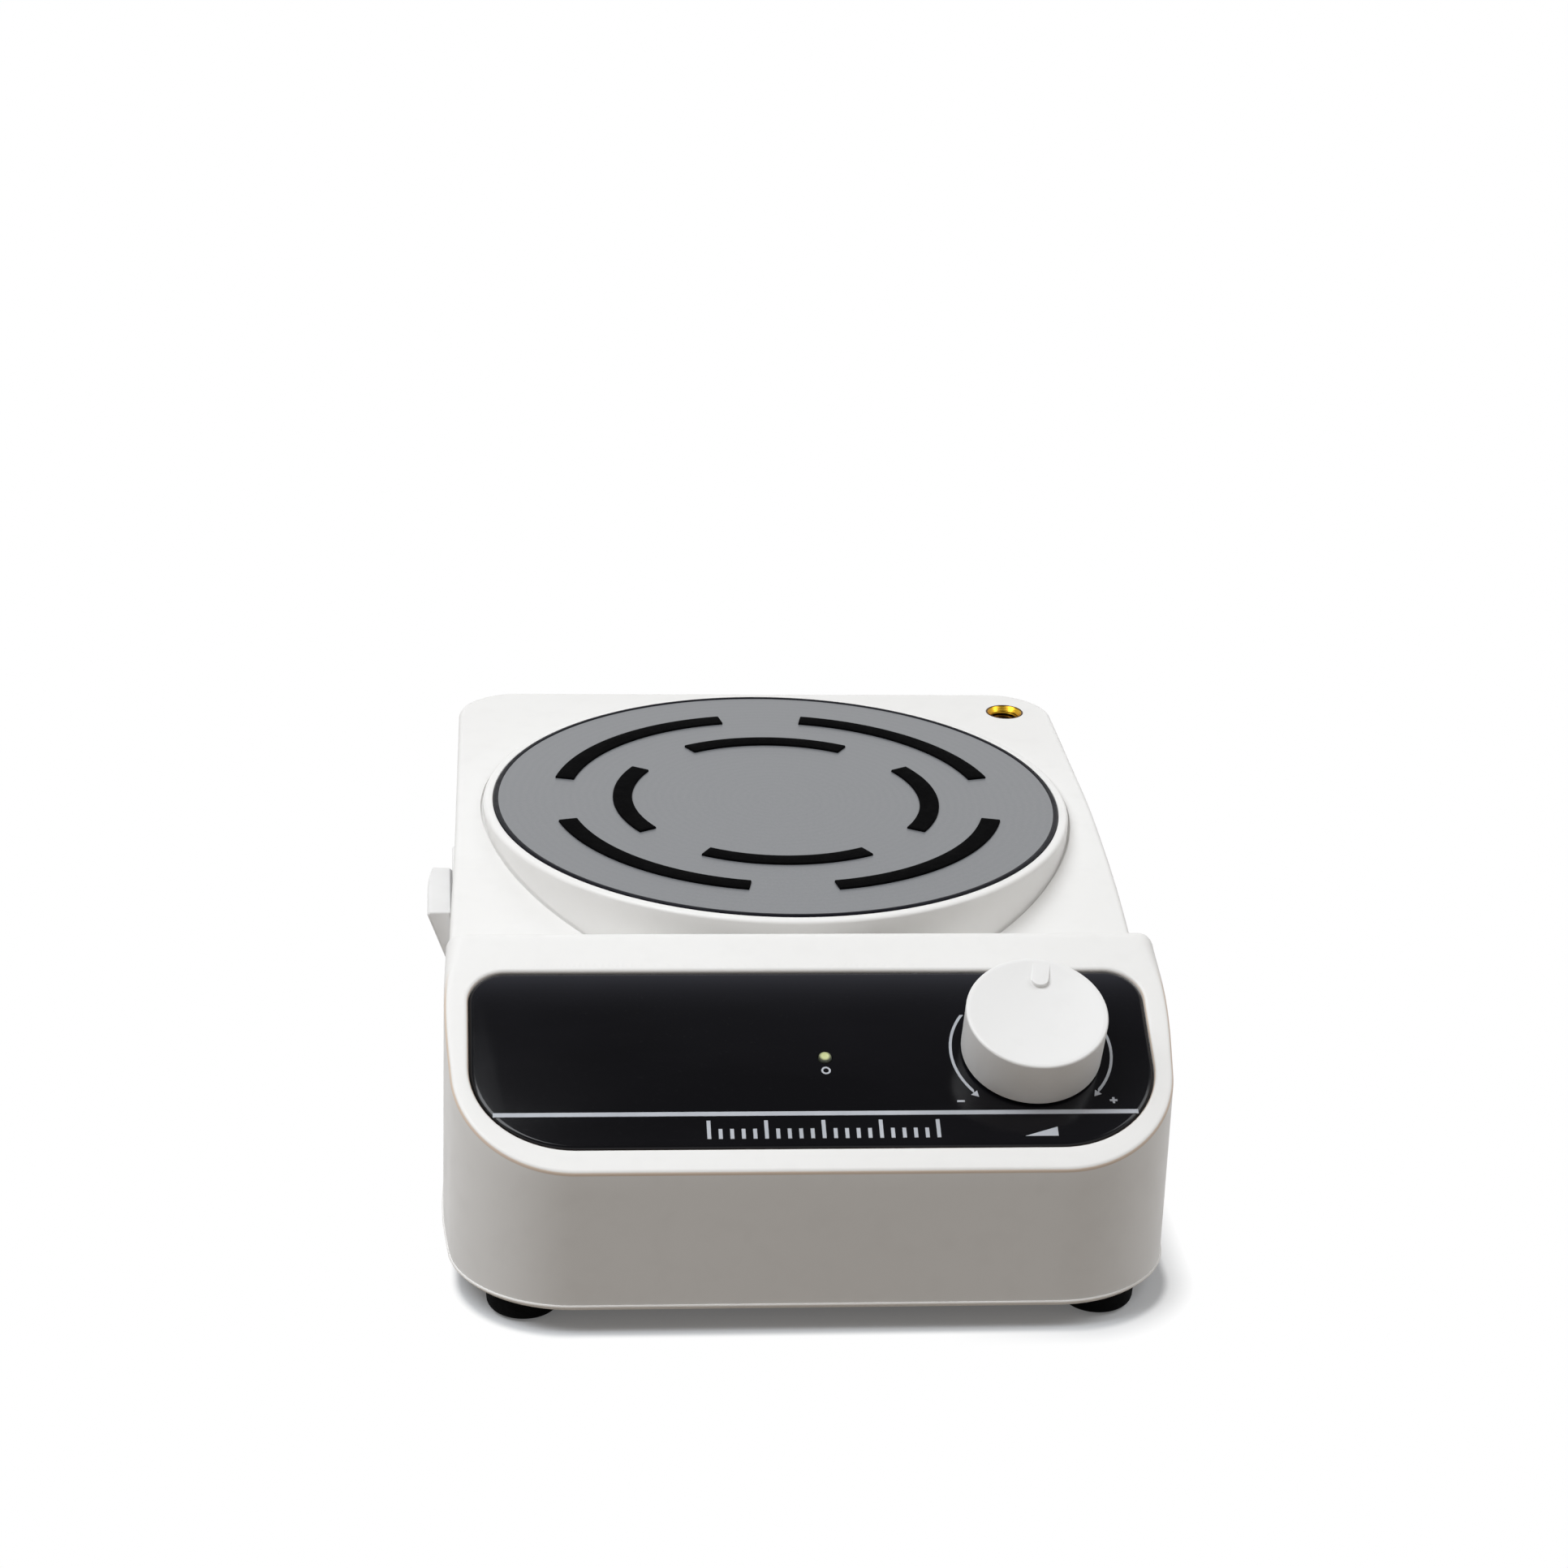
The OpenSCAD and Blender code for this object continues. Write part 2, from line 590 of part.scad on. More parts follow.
module motor_screws() color("Silver") place() for (s = [-1, 1]) translate([s * 12.7, 0, motor_top + 2])
    pan_screw(1.5, 3.5, 2.6, 1.8);

module control_board() color("SeaGreen") place() on_panel() difference() {
    translate([-11, -15, board_w - board_t]) cube([76, 30, board_t]);
    for (p = stand_at) translate([p[0], p[1], -20]) cylinder(r = 1.2, h = 20);
}

module board_screws() color("Silver") place() on_panel() for (p = stand_at)
    translate([p[0], p[1], board_w - board_t]) rotate([180, 0, 0]) pan_screw(1, 6, 2, 1.4);

module board_capacitors() color("MidnightBlue") place() on_panel() for (x = [18, 30])
    translate([x, -7, board_w - board_t - 11]) cylinder(r = 4, h = 11);

module heat_sink() color("Gray") place() on_panel() translate([50, 3, board_w - board_t - 14])
    difference() {
        translate([-8, -6, 0]) cube([16, 12, 14]);
        for (i = [-2 : 2]) box([i * 3.2, 2.6, 7], [1.6, 9, 20]);
    }

module drive_transistor() color("Black") place() on_panel() translate([50, -5.2, board_w - board_t - 12])
    difference() {
        box([0, 0, 6], [10, 4.4, 12]);
        translate([0, 0, 3]) rotate([90, 0, 0]) cylinder(r = 1.6, h = 10, center = true);
    }

module wire_connectors() color("Ivory") place() on_panel() for (x = [-4, 8])
    box([x, 5, board_w - board_t - 3], [8, 5, 6]);

module inlet_body() color("Black") place() translate([inlet_x, rear_len - 0.2, inlet_z]) rotate([90, 0, 0])
    difference() {
        union() {
            cylinder(r = 7, h = 1.2);
            cylinder(r = 5.5, h = 18);
        }
        translate([0, 0, -1]) cylinder(r = 3.2, h = 10);
    }

module inlet_contacts() color("Gold") place() translate([inlet_x, rear_len - 0.2, inlet_z])
    rotate([90, 0, 0]) {
        translate([0, 0, 1.5]) cylinder(r = 1, h = 7.5);
        for (s = [-1, 1]) box([s * 3, 0, 20.5], [0.8, 3, 5]);
    }

module inlet_nut() color("Silver") place() translate([inlet_x, rear_len - wall - 4, inlet_z])
    rotate([90, 0, 0]) difference() {
        cylinder(r = 8.5, h = 2.5, $fn = 6);
        translate([0, 0, -1]) cylinder(r = 5.5, h = 5);
    }

module lead_supply() color("Red") place() wire([[inlet_x - 3, tab_y, inlet_z], [inlet_x - 3, 40, inlet_z],
    [-44, 6, 24], [term_x + 5, switch_y, switch_z + 7], [term_x, switch_y, switch_z + 7]], 0.9);

module lead_return() color("Black") place() wire([[inlet_x + 3, tab_y, inlet_z], [inlet_x + 3, 46, inlet_z],
    [-46, 38, 13], [-46, -66, 13], pl(-2.5, 5, plug_w - 12), pl(-2.5, 5, plug_w)], 0.9);

module lead_switched() color("Red") place() wire([[term_x, switch_y, switch_z - 7],
    [term_x + 6, switch_y, switch_z - 7], [term_x + 4, -55, 23], pl(-5.5, 5, plug_w - 9),
    pl(-5.5, 5, plug_w)], 0.9);

module leads_motor() color("Blue") place() for (s = [-1, 1])
    wire([[s * 8, -13.5, motor_z - 4.4], [s * 8, -30, motor_z - 4.4], [8 + s * 1.5, -72, 14],
        pl(8 + s * 1.5, 5, plug_w - 10), pl(8 + s * 1.5, 5, plug_w)], 0.9);

top_cover();
base_cover();
feet();
foot_screws();
stir_plate();
plate_gasket();
grip_arcs_outer();
grip_arcs_inner();
rod_socket();
socket_screw();
control_panel();
panel_marks();
lamp();
knob();
pot_shaft();
pot_body();
pot_bushing();
pot_washer();
pot_nut();
switch_frame();
switch_rocker();
switch_terminals();
motor_can();
motor_end_cap();
motor_bearings();
field_magnets();
motor_shaft();
armature();
magnet_holder();
stir_magnets();
holder_set_screw();
motor_bracket();
bracket_screws();
motor_screws();
control_board();
board_screws();
board_capacitors();
drive_transistor();
heat_sink();
wire_connectors();
inlet_body();
inlet_contacts();
inlet_nut();
lead_supply();
lead_return();
lead_switched();
leads_motor();
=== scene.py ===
from math import acos, atan2, copysign, cos, hypot, pi, radians, sin, sqrt, tan

import bmesh
import bpy
import numpy as np
from mathutils import Matrix, Vector


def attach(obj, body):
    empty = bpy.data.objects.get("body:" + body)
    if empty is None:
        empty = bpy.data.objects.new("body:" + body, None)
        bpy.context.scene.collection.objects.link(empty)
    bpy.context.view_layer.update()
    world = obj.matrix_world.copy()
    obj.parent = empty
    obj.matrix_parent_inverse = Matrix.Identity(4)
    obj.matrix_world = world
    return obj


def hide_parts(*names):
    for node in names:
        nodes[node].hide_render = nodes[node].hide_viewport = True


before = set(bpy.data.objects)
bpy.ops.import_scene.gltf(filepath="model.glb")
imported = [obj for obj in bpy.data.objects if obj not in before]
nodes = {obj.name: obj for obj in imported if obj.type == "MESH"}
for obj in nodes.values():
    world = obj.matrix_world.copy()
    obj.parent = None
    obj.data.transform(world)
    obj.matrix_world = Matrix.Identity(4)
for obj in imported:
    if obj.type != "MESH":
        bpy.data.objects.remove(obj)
scene = bpy.context.scene
scene.view_settings.view_transform = "Standard"
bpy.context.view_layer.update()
print("frame loaded,", len(nodes), "nodes")

mm = 0.001
quarter = pi / 2
caseShift = np.array([1.85, 29.35, 0.0])  # plate centre to the model's own origin, mm
panelTilt = radians(24.0)
panelAt = np.array([0.0, -104.6, 49.95])  # middle of the sloped rim surface
panelX = np.array([1.0, 0.0, 0.0])
panelV = np.array([0.0, cos(panelTilt), sin(panelTilt)])
panelW = np.array([0.0, -sin(panelTilt), cos(panelTilt)])
onSlope = (panelX, panelV, panelW)
upright = tuple(np.eye(3))
rearWall = (upright[0], upright[2], -upright[1])  # a turned shape that goes into the rear wall

# knob and lamp: across and up the slope; rod: in plan; switch and inlet: along and up their walls
places = {"knob": (46.6, 1.6), "lamp": (2.5, 0.0), "rod": (62.3, 61.0), "switch": (-12.0, 34.3),
          "inlet": (-40.0, 24.0)}

# camera: place in metres, turn left or right, look down, lean, lens and sensor in mm
view = {"at": (-0.07865, -0.81884, 0.42068), "yaw": 5.539, "pitch": 22.423, "roll": -2.165, "lens": 90.49,
        "sensor": 36.0, "near": 0.01}


def addObject(name, data):
    item = bpy.data.objects.new(name, data)
    scene.collection.objects.link(item)
    return item


def addCamera(v):
    # looks along the turned and lowered line of sight, then leans about it
    yaw, pitch, roll = (radians(v[k]) for k in ("yaw", "pitch", "roll"))
    ahead = Vector((sin(yaw) * cos(pitch), cos(yaw) * cos(pitch), -sin(pitch)))
    right = Vector((cos(yaw), -sin(yaw), 0))
    down = ahead.cross(right)
    side = cos(roll) * right + sin(roll) * down
    low = cos(roll) * down - sin(roll) * right
    data = bpy.data.cameras.new("photoCamera")
    data.sensor_width = v["sensor"]
    data.lens = v["lens"]
    data.clip_start = v["near"]
    cam = addObject("photoCamera", data)
    cam.matrix_world = Matrix.Translation(v["at"]) @ Matrix((side, -low, -ahead)).transposed().to_4x4()
    scene.camera = cam


addCamera(view)
print("camera set")


# mesh helpers: grids of points, rounded corners, turned shapes

def upTo(first, last, count):
    # even steps that stop one step short of the end
    return np.linspace(first, last, count, endpoint=False)


def onCircle(centre, radius, angles):
    # points of a circle at given angles
    return centre + radius * np.stack([np.cos(angles), np.sin(angles)], -1)


def levelLine(across, height):
    # points of a straight line at one height
    return np.column_stack([across, np.full_like(across, height)])


def boxCorners(left, low, right, high):
    # a rectangle, against the clock from its lower left corner
    return [[left, low], [right, low], [right, high], [left, high]]


def gridQuads(rows, cols, closeRows=False):
    # the cells of a stack of closed rings; closeRows also joins the last ring to the first
    i = np.arange(rows if closeRows else rows - 1)[:, None]
    j = np.arange(cols)[None, :]
    below = (i + 1) % rows
    beside = (j + 1) % cols
    corners = (i * cols + j, i * cols + beside, below * cols + beside, below * cols + j)
    return np.stack(corners, -1).reshape(-1, 4)


def settleMesh(mesh, sharpAngle):
    # doubles and flat slivers go, faces turn outwards, edges sharper than the angle stay crisp
    work = bmesh.new()
    work.from_mesh(mesh)
    bmesh.ops.remove_doubles(work, verts=work.verts, dist=2e-6)
    bmesh.ops.dissolve_degenerate(work, dist=1e-7, edges=work.edges)
    bmesh.ops.recalc_face_normals(work, faces=work.faces)
    work.to_mesh(mesh)
    work.free()
    mesh.shade_smooth()
    mesh.set_sharp_from_angle(angle=radians(sharpAngle))


def makePiece(name, shells, sharpAngle=35.0):
    # each shell is points in mm about the plate centre, its quads and its flat end faces
    points, faces, count = [], [], 0
    for shellPoints, quads, caps in shells:
        flat = shellPoints.reshape(-1, 3)
        points.append((flat + caseShift) * mm)
        faces += (quads + count).tolist()
        faces += [(cap + count).tolist() for cap in caps]
        count += len(flat)
    mesh = bpy.data.meshes.new(name)
    mesh.from_pydata(np.concatenate(points).tolist(), [], faces)
    settleMesh(mesh, sharpAngle)
    return addObject(name, mesh)


dressed = []  # every new piece, with the name of the finish that it gets further down


def standFor(piece, body, node, finish):
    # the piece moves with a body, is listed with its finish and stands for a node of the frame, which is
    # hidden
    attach(piece, body)
    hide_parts(node)
    dressed.append((piece, finish))


def unit(vectors):
    # every row brought to length one
    return vectors / np.maximum(np.linalg.norm(vectors, axis=1, keepdims=True), 1e-9)


def roundedPath(corners, radii, steps, closed=True):
    # every corner of a polygon becomes an arc that touches both its sides
    p = np.asarray(corners, float)
    r = np.broadcast_to(np.asarray(radii, float), (len(p),)).copy()
    if not closed:
        r[0] = r[-1] = 0
    back = unit(np.roll(p, 1, 0) - p)
    on = unit(np.roll(p, -1, 0) - p)
    half = np.arccos(np.clip((back * on).sum(1), -1, 1)) / 2
    centre = p + unit(back + on) * (r / np.maximum(np.sin(half), 1e-6))[:, None]
    reach = (r / np.maximum(np.tan(half), 1e-6))[:, None]
    first = p + back * reach - centre
    last = p + on * reach - centre
    span = np.maximum(pi - 2 * half, 1e-6)[:, None]
    t = np.linspace(0, 1, steps)[None, :]
    a = (np.sin((1 - t) * span) / np.sin(span))[..., None]
    b = (np.sin(t * span) / np.sin(span))[..., None]
    return (centre[:, None] + a * first[:, None] + b * last[:, None]).reshape(-1, 2)


def turned(profile, centre, axes, around, closed=False):
    # a radius and height profile carried round an axis
    a = upTo(0, 4 * quarter, around)
    ring = np.cos(a)[:, None] * axes[0] + np.sin(a)[:, None] * axes[1]
    points = np.asarray(centre) + profile[:, None, :1] * ring[None] + profile[:, None, 1:] * axes[2]
    return points, gridQuads(len(profile), around, closed), []


def capped(rows):
    # a stack of rings closed by a flat face at each end
    n = rows.shape[1]
    return rows, gridQuads(len(rows), n), [np.arange(n)[::-1], (len(rows) - 1) * n + np.arange(n)]


def slab(outlineAt, levels, lift):
    # an outline grown by a margin at each level and lifted into place
    return capped(np.stack([lift(outlineAt(grow), level) for grow, level in levels]))


def tube(centre, axes, radius, low, high):
    # plain round cutter with flat ends
    return capped(turned(np.array([[radius, low], [radius, high]]), centre, axes, 64)[0])


def slopePoint(x, v, w):
    # x across the slope, v up it and w out of it
    x, v, w = np.broadcast_arrays(x, v, w)
    return panelAt + x[..., None] * panelX + v[..., None] * panelV + w[..., None] * panelW


def onSlopeAt(points, level):
    # a flat outline laid along the slope at one level
    return slopePoint(points[:, 0], points[:, 1], level)


def onLeftWall(points, x):
    # a flat outline about the switch's middle, at one depth of the left wall
    return np.insert(points + places["switch"], 0, x, axis=1)


def hoop(width, height, corner):
    # a rounded rectangle about its middle
    return roundedPath(boxCorners(-width / 2, -height / 2, width / 2, height / 2), corner, 6)


def wallBlock(width, height, corner, fromX, toX):
    # rounded block through the left wall
    return capped(np.stack([onLeftWall(hoop(width, height, corner), x) for x in (fromX, toX)]))


def roundEdge(radius, steps):
    # margin and depth pairs along a quarter circle, from the side wall to the flat face
    return [(radius * (cos(t) - 1), radius * (sin(t) - 1)) for t in np.linspace(0, quarter, steps)]


def carve(piece, name, shells, how="DIFFERENCE"):
    # cuts closed shells out of a piece, or joins them to it, and keeps the result as its mesh
    tool = makePiece(name, shells)
    cut = piece.modifiers.new("carve", "BOOLEAN")
    cut.operation = how
    cut.solver = "EXACT"
    cut.object = tool
    done = bpy.data.meshes.new_from_object(piece.evaluated_get(bpy.context.evaluated_depsgraph_get()))
    piece.modifiers.clear()
    old, spare = piece.data, tool.data
    piece.data = done
    done.name = piece.name
    bpy.data.objects.remove(tool)
    bpy.data.meshes.remove(old)
    bpy.data.meshes.remove(spare)
    settleMesh(done, 30.0)


# white upper cover: one closed skin, out of the wall, over the edge, in to the collar and back underneath
cover = {
    "halfFront": 78.0, "halfMid": 75.0, "halfRear": 73.6, "frontY": -132.2, "rearY": 73.5, "frontRound": 26.0,
    "rearRound": 14.5, "noseLean": 4.84, "taperStart": -91.95, "taperMid": -15.0, "taperEase": 8.0,
    "lowZ": 5.7, "lip": 0.3, "lipTall": 0.7, "edgeRound": 1.2, "wall": 2.5,
    "deckZ": 63.3, "dipY": 10.0, "dipR": 200.0, "faceLean": 6.0, "valleyR": 6.0,
    "ridgeY": -72.95, "ridgeR": 3.9, "ridgeEase": 2.2, "ridgeNear": 10.0, "ridgeOut": 60.0,
    "collarR": 68.4, "collarZ": 65.0, "collarIn": 66.1, "collarRound": 0.9, "collarSoft": 0.4,
    "seam": 0.6, "seamDeep": 0.8, "seamDraft": 0.03, "seatZ": 62.1, "ledgeR": 60.0, "underR": 65.2,
    "panelFloor": 4.8, "floorPast": 1.4, "archFrom": -110.0, "bentTo": -56.0,
    "sideSteps": 118, "topRows": 92, "underRows": 30, "rowEven": 0.45, "rowBend": 8.0,
}


def rimHeight(y):
    # height of the sloped plane at a depth
    return panelAt[2] + tan(panelTilt) * (y - panelAt[1])


def sideProfile(c):
    # side view from front to rear: slope, ridge arc, leaning face, valley arc, dipping arc, flat deck;
    # gives its height, its lie and the share of the rows used up at any depth
    lean = radians(c["faceLean"])
    ridge = np.array([c["ridgeY"], rimHeight(c["ridgeY"]) - c["ridgeR"] / cos(panelTilt)])
    dip = np.array([c["dipY"], c["deckZ"] - c["dipR"]])
    out = np.array([cos(lean), sin(lean)])
    fall = np.array([sin(lean), -cos(lean)])
    faceTop = ridge + c["ridgeR"] * out
    start = faceTop + c["valleyR"] * out - dip
    reach = c["dipR"] + c["valleyR"]
    along = start @ fall
    valley = dip + start - fall * (along + sqrt(along ** 2 - start @ start + reach ** 2))
    touch = dip + (valley - dip) * c["dipR"] / reach
    toDip = atan2(*(dip - valley)[::-1]) + 4 * quarter
    fromTouch = atan2(*(touch - dip)[::-1])
    past = 2.0  # the profile runs on a little beyond both ends of the case
    slopeY = upTo(c["frontY"] - past, ridge[0] - c["ridgeR"] * sin(panelTilt), 600)
    deckY = np.linspace(c["dipY"], c["rearY"] + past, 200)
    yz = np.concatenate([
        np.column_stack([slopeY, rimHeight(slopeY)]),
        onCircle(ridge, c["ridgeR"], upTo(quarter + panelTilt, lean, 120)),
        upTo(faceTop, valley - c["valleyR"] * out, 60),
        onCircle(valley, c["valleyR"], upTo(pi + lean, toDip, 160)),
        onCircle(dip, c["dipR"], upTo(fromTouch, quarter, 500)),
        levelLine(deckY, c["deckZ"]),
    ])
    step = np.diff(yz, axis=0)
    s = np.concatenate([[0], np.cumsum(np.linalg.norm(step, axis=1))])
    angle = np.unwrap(np.arctan2(step[:, 1], step[:, 0]))
    even = np.linspace(0, s[-1], 4000)
    y, z = (np.interp(even, s, yz[:, k]) for k in (0, 1))
    lie = np.interp(even, (s[:-1] + s[1:]) / 2, angle)
    blur = 41  # samples over which the bend is smoothed
    bend = np.convolve(np.abs(np.gradient(lie, even)), np.full(blur, 1 / blur), "same")
    density = c["rowEven"] + c["rowBend"] * bend[1:]  # more rows where it bends
    weight = np.concatenate([[0], np.cumsum(density * np.diff(even))])
    at = lambda values: lambda where: np.interp(where, y, values)
    return {"top": at(z), "lie": at(lie), "weight": at(weight),
            "fromWeight": lambda w: np.interp(w, weight, y)}


def caseOutline(c, side):
    # right half of the plan from front to rear, then its mirror image: points and outward directions
    nose = radians(c["noseLean"])  # the sides still open out a little behind the front corners
    fy = c["frontY"] + c["frontRound"]
    sideFrom = fy - c["frontRound"] * sin(nose)
    rise = (c["taperStart"] - sideFrom) * tan(nose)
    fx = c["halfFront"] - c["frontRound"] * cos(nose) - rise
    rx, ry = c["halfRear"] - c["rearRound"], c["rearY"] - c["rearRound"]
    frontX = upTo(0, fx, 30)
    turnA = upTo(-quarter, -nose, 26)
    y = side["fromWeight"](upTo(*side["weight"]([sideFrom, ry]), c["sideSteps"]))
    fall = (c["halfRear"] - c["halfMid"]) / (ry - c["taperMid"])
    past = 20.0  # the straight runs go on beyond both ends, so easing changes nothing there
    knots = [sideFrom - past, c["taperStart"], c["taperMid"], ry + past]
    widths = [c["halfFront"] - rise - past * tan(nose), c["halfFront"], c["halfMid"],
              c["halfRear"] + past * fall]
    ease = np.linspace(-c["taperEase"], c["taperEase"], 9)
    x = np.interp(y[:, None] + ease, knots, widths).mean(1)  # straight runs with eased bends
    lean = np.gradient(x, y)
    turnB = upTo(0, quarter, 18)
    rearX = np.linspace(rx, 0, 20)
    points = np.concatenate([
        levelLine(frontX, c["frontY"]),
        onCircle(np.array([fx, fy]), c["frontRound"], turnA),
        np.column_stack([x, y]),
        onCircle(np.array([rx, ry]), c["rearRound"], turnB),
        levelLine(rearX, c["rearY"]),
    ])
    out = np.concatenate([
        np.tile([0.0, -1.0], (len(frontX), 1)),
        onCircle(0.0, 1.0, turnA),
        unit(np.column_stack([np.ones_like(y), -lean])),
        onCircle(0.0, 1.0, turnB),
        np.tile([0.0, 1.0], (len(rearX), 1)),
    ])
    flip = np.array([-1.0, 1.0])
    return [np.concatenate([half, half[-2:0:-1] * flip]) for half in (points, out)]


def carried(start, end, side, rows, heightOf, bent):
    # rows between two rings of plan points: bent lines step evenly along the side view, others evenly in plan
    t = np.linspace(0, 1, rows)[:, None]
    w0, w1 = (side["weight"](ring[:, 1]) for ring in (start, end))
    y = side["fromWeight"](w0 + (w1 - w0) * t)
    gap = end[:, 1] - start[:, 1]
    gap = np.where(np.abs(gap) < 1e-6, 1e-6, gap)
    share = np.where(bent, (y - start[:, 1]) / gap, t)
    plan = start[None] + (end - start)[None] * share[..., None]
    return np.concatenate([plan, heightOf(plan[..., 1])[..., None]], -1)


def coverSkin(c):
    # rings of the plan: inner wall foot, lip, wall, rounded edge, deck, seam, collar, ledge and the underside
    side = sideProfile(c)
    plan, out = caseOutline(c, side)
    n = len(plan)
    inner = plan - c["wall"] * out
    level = lambda points, z: np.column_stack([points, np.broadcast_to(z, n)])
    lie = side["lie"](plan[:, 1])
    wallOut = level(out, 0.0)
    topOut = np.column_stack([np.zeros(n), -np.sin(lie), np.cos(lie)])
    cosine = (wallOut * topOut).sum(1, keepdims=True)
    span = np.arccos(np.clip(cosine, -1, 1))
    fromRidge = (plan[:, 1:] - c["ridgeY"]) / c["ridgeNear"]
    atRidge = np.exp(-fromRidge ** 2) * (np.abs(plan[:, :1]) > c["ridgeOut"])
    edge = c["edgeRound"] + c["ridgeEase"] * atRidge  # the ends of the ridge are rounder
    ball = level(plan, side["top"](plan[:, 1])) - edge * (wallOut + topOut) / (1 + cosine)
    rows = [level(inner, c["lowZ"])]
    for a in np.linspace(-quarter, quarter, 7):  # a thin half round lip along the lower edge
        z = c["lowZ"] + c["lipTall"] / 2 * (1 + sin(a))
        rows.append(level(plan + c["lip"] * cos(a) * out, z))
    wallLow, wallTop = rows[-1], ball + edge * wallOut
    rows += [wallLow * (1 - t) + wallTop * t for t in np.linspace(0, 1, 9)[1:-1]]
    for t in np.linspace(0, 1, 9):
        bow = (np.sin((1 - t) * span) * wallOut + np.sin(t * span) * topOut) / np.sin(span)
        rows.append(ball + edge * bow)
    top = rows[-1][:, :2]
    ray = unit(top)
    bent = top[:, 1] < c["bentTo"]
    foot = c["collarR"] + c["seam"]
    rows += list(carried(top, ray * foot, side, c["topRows"], side["top"], bent)[1:])
    lowWall = rows[-1][:, 2] - c["seamDeep"]  # a hairline seam parts the collar from the deck
    rows.append(level(ray * (foot - c["seamDraft"]), lowWall))
    rise = c["collarZ"] - c["collarRound"] - lowWall
    rows += [level(ray * c["collarR"], lowWall + rise * t) for t in np.linspace(0, 1, 8)]
    under = c["seatZ"] - c["wall"]
    steps = 7
    lip = roundedPath(
        [[c["collarR"], c["seatZ"]], [c["collarR"], c["collarZ"]], [c["collarIn"], c["collarZ"]],
         [c["collarIn"], c["seatZ"]], [c["ledgeR"], c["seatZ"]], [c["ledgeR"], under], [c["underR"], under]],
        [0, c["collarRound"], c["collarSoft"], 0, 0, 0, 0], steps, False)
    rows += [level(ray * r, z) for r, z in lip[steps + 1:]]  # the wall up to its top is there already
    arch = lambda y: c["deckZ"] - c["dipR"] + np.sqrt((c["dipR"] - c["wall"]) ** 2 - (y - c["dipY"]) ** 2)
    behind = lambda y: np.where(y < c["dipY"], arch(np.minimum(y, c["dipY"])), c["deckZ"] - c["wall"])
    floorEnd = c["ridgeY"] + c["floorPast"]
    sunk = c["panelFloor"] / cos(panelTilt)
    underZ = lambda y: np.where(y < floorEnd, rimHeight(y) - sunk, behind(np.maximum(y, c["archFrom"])))
    rows += list(carried(ray * c["collarIn"], inner, side, c["underRows"], underZ, bent))
    for t in (0.35, 0.7):  # two rings on the way down inside the wall
        rows.append(rows[-1] * (1 - t) + level(inner, c["lowZ"]) * t)
    return np.stack(rows)


# black control panel: its outline about the middle of the slope, and the rounded plate itself
panel = {"halfWide": 72.5, "halfTall": 24.0, "lowRound": 22.0, "topRound": 8.0, "top": -0.3, "thick": 2.0,
         "edge": 1.1, "underEdge": 0.2, "shaftR": 3.6, "lampR": 1.6}

# openings in the cover: panel pocket with its flared edge, bores, seats in the walls as width, height, corner
openings = {"gap": 0.15, "floor": -2.3, "flare": 0.9, "flareTurn": 1.36, "flareOut": 12.0, "rodR": 4.65,
            "shaftR": 3.6, "lampR": 1.7, "jackR": 5.6, "jackSeatR": 7.1, "jackSeat": 1.4,
            "switchSeat": (31.0, 36.2, 1.6), "seatX": -74.5, "switchHole": (27.8, 32.6, 1.0), "holeX": -65.0,
            "outsideX": -85.0, "jackFrom": -4, "jackDeep": 9, "boreW": (-9, 4), "rodZ": (35, 80)}


def panelOutline(grow):
    # rounded rectangle with wider lower corners, grown by a margin
    w, h = panel["halfWide"] + grow, panel["halfTall"] + grow
    low, top = panel["lowRound"] + grow, panel["topRound"] + grow
    return roundedPath(boxCorners(-w, -h, w, h), [low, low, top, top], 20)


def slopeBores(shaftR, lampR):
    # cutters for the knob's shaft and the lamp, square to the slope
    bores = (places["knob"], shaftR), (places["lamp"], lampR)
    return [tube(slopePoint(*at, 0.0), onSlope, r, *openings["boreW"]) for at, r in bores]


def buildCover(c, o):
    # the skin with its pocket cut first, then the holes through it
    rows = coverSkin(c)
    piece = makePiece("coverSkin", [(rows, gridQuads(*rows.shape[:2], True), [])], 30.0)
    turns = np.linspace(0, o["flareTurn"], 7)
    flare = [(o["gap"], o["floor"])]
    flare += [(o["gap"] + o["flare"] * (1 - cos(a)), o["flare"] * (sin(a) - 1)) for a in turns]
    flare.append((flare[-1][0] + o["flareOut"], flare[-1][1] + o["flareOut"] / tan(o["flareTurn"])))
    jackX, jackZ = places["inlet"]
    jackAt = (jackX, c["rearY"], jackZ)
    carve(piece, "pocketTool", [
        slab(panelOutline, flare, onSlopeAt),
        tube((*places["rod"], 0), upright, o["rodR"], *o["rodZ"]),
        wallBlock(*o["switchSeat"], o["outsideX"], o["seatX"]),
        tube(jackAt, rearWall, o["jackSeatR"], o["jackFrom"], o["jackSeat"]),
    ])
    carve(piece, "holeTool", slopeBores(o["shaftR"], o["lampR"]) + [
        wallBlock(*o["switchHole"], o["outsideX"], o["holeX"]),
        tube(jackAt, rearWall, o["jackR"], o["jackFrom"], o["jackDeep"]),
    ])
    standFor(piece, "housing", "top_cover", "whiteShell")
    print("cover skin,", len(piece.data.polygons), "faces")


def buildPanel(s):
    # the outline stacked from the underside to the face, with a quarter round at the face
    low, soft = s["top"] - s["thick"], s["underEdge"]
    levels = [(-soft, low), (0.0, low + soft)] + [(m, s["top"] + d) for m, d in roundEdge(s["edge"], 6)]
    piece = makePiece("controlPanel", [slab(panelOutline, levels, onSlopeAt)])
    carve(piece, "panelTool", slopeBores(s["shaftR"], s["lampR"]))
    standFor(piece, "housing", "control_panel", "panelFilm")


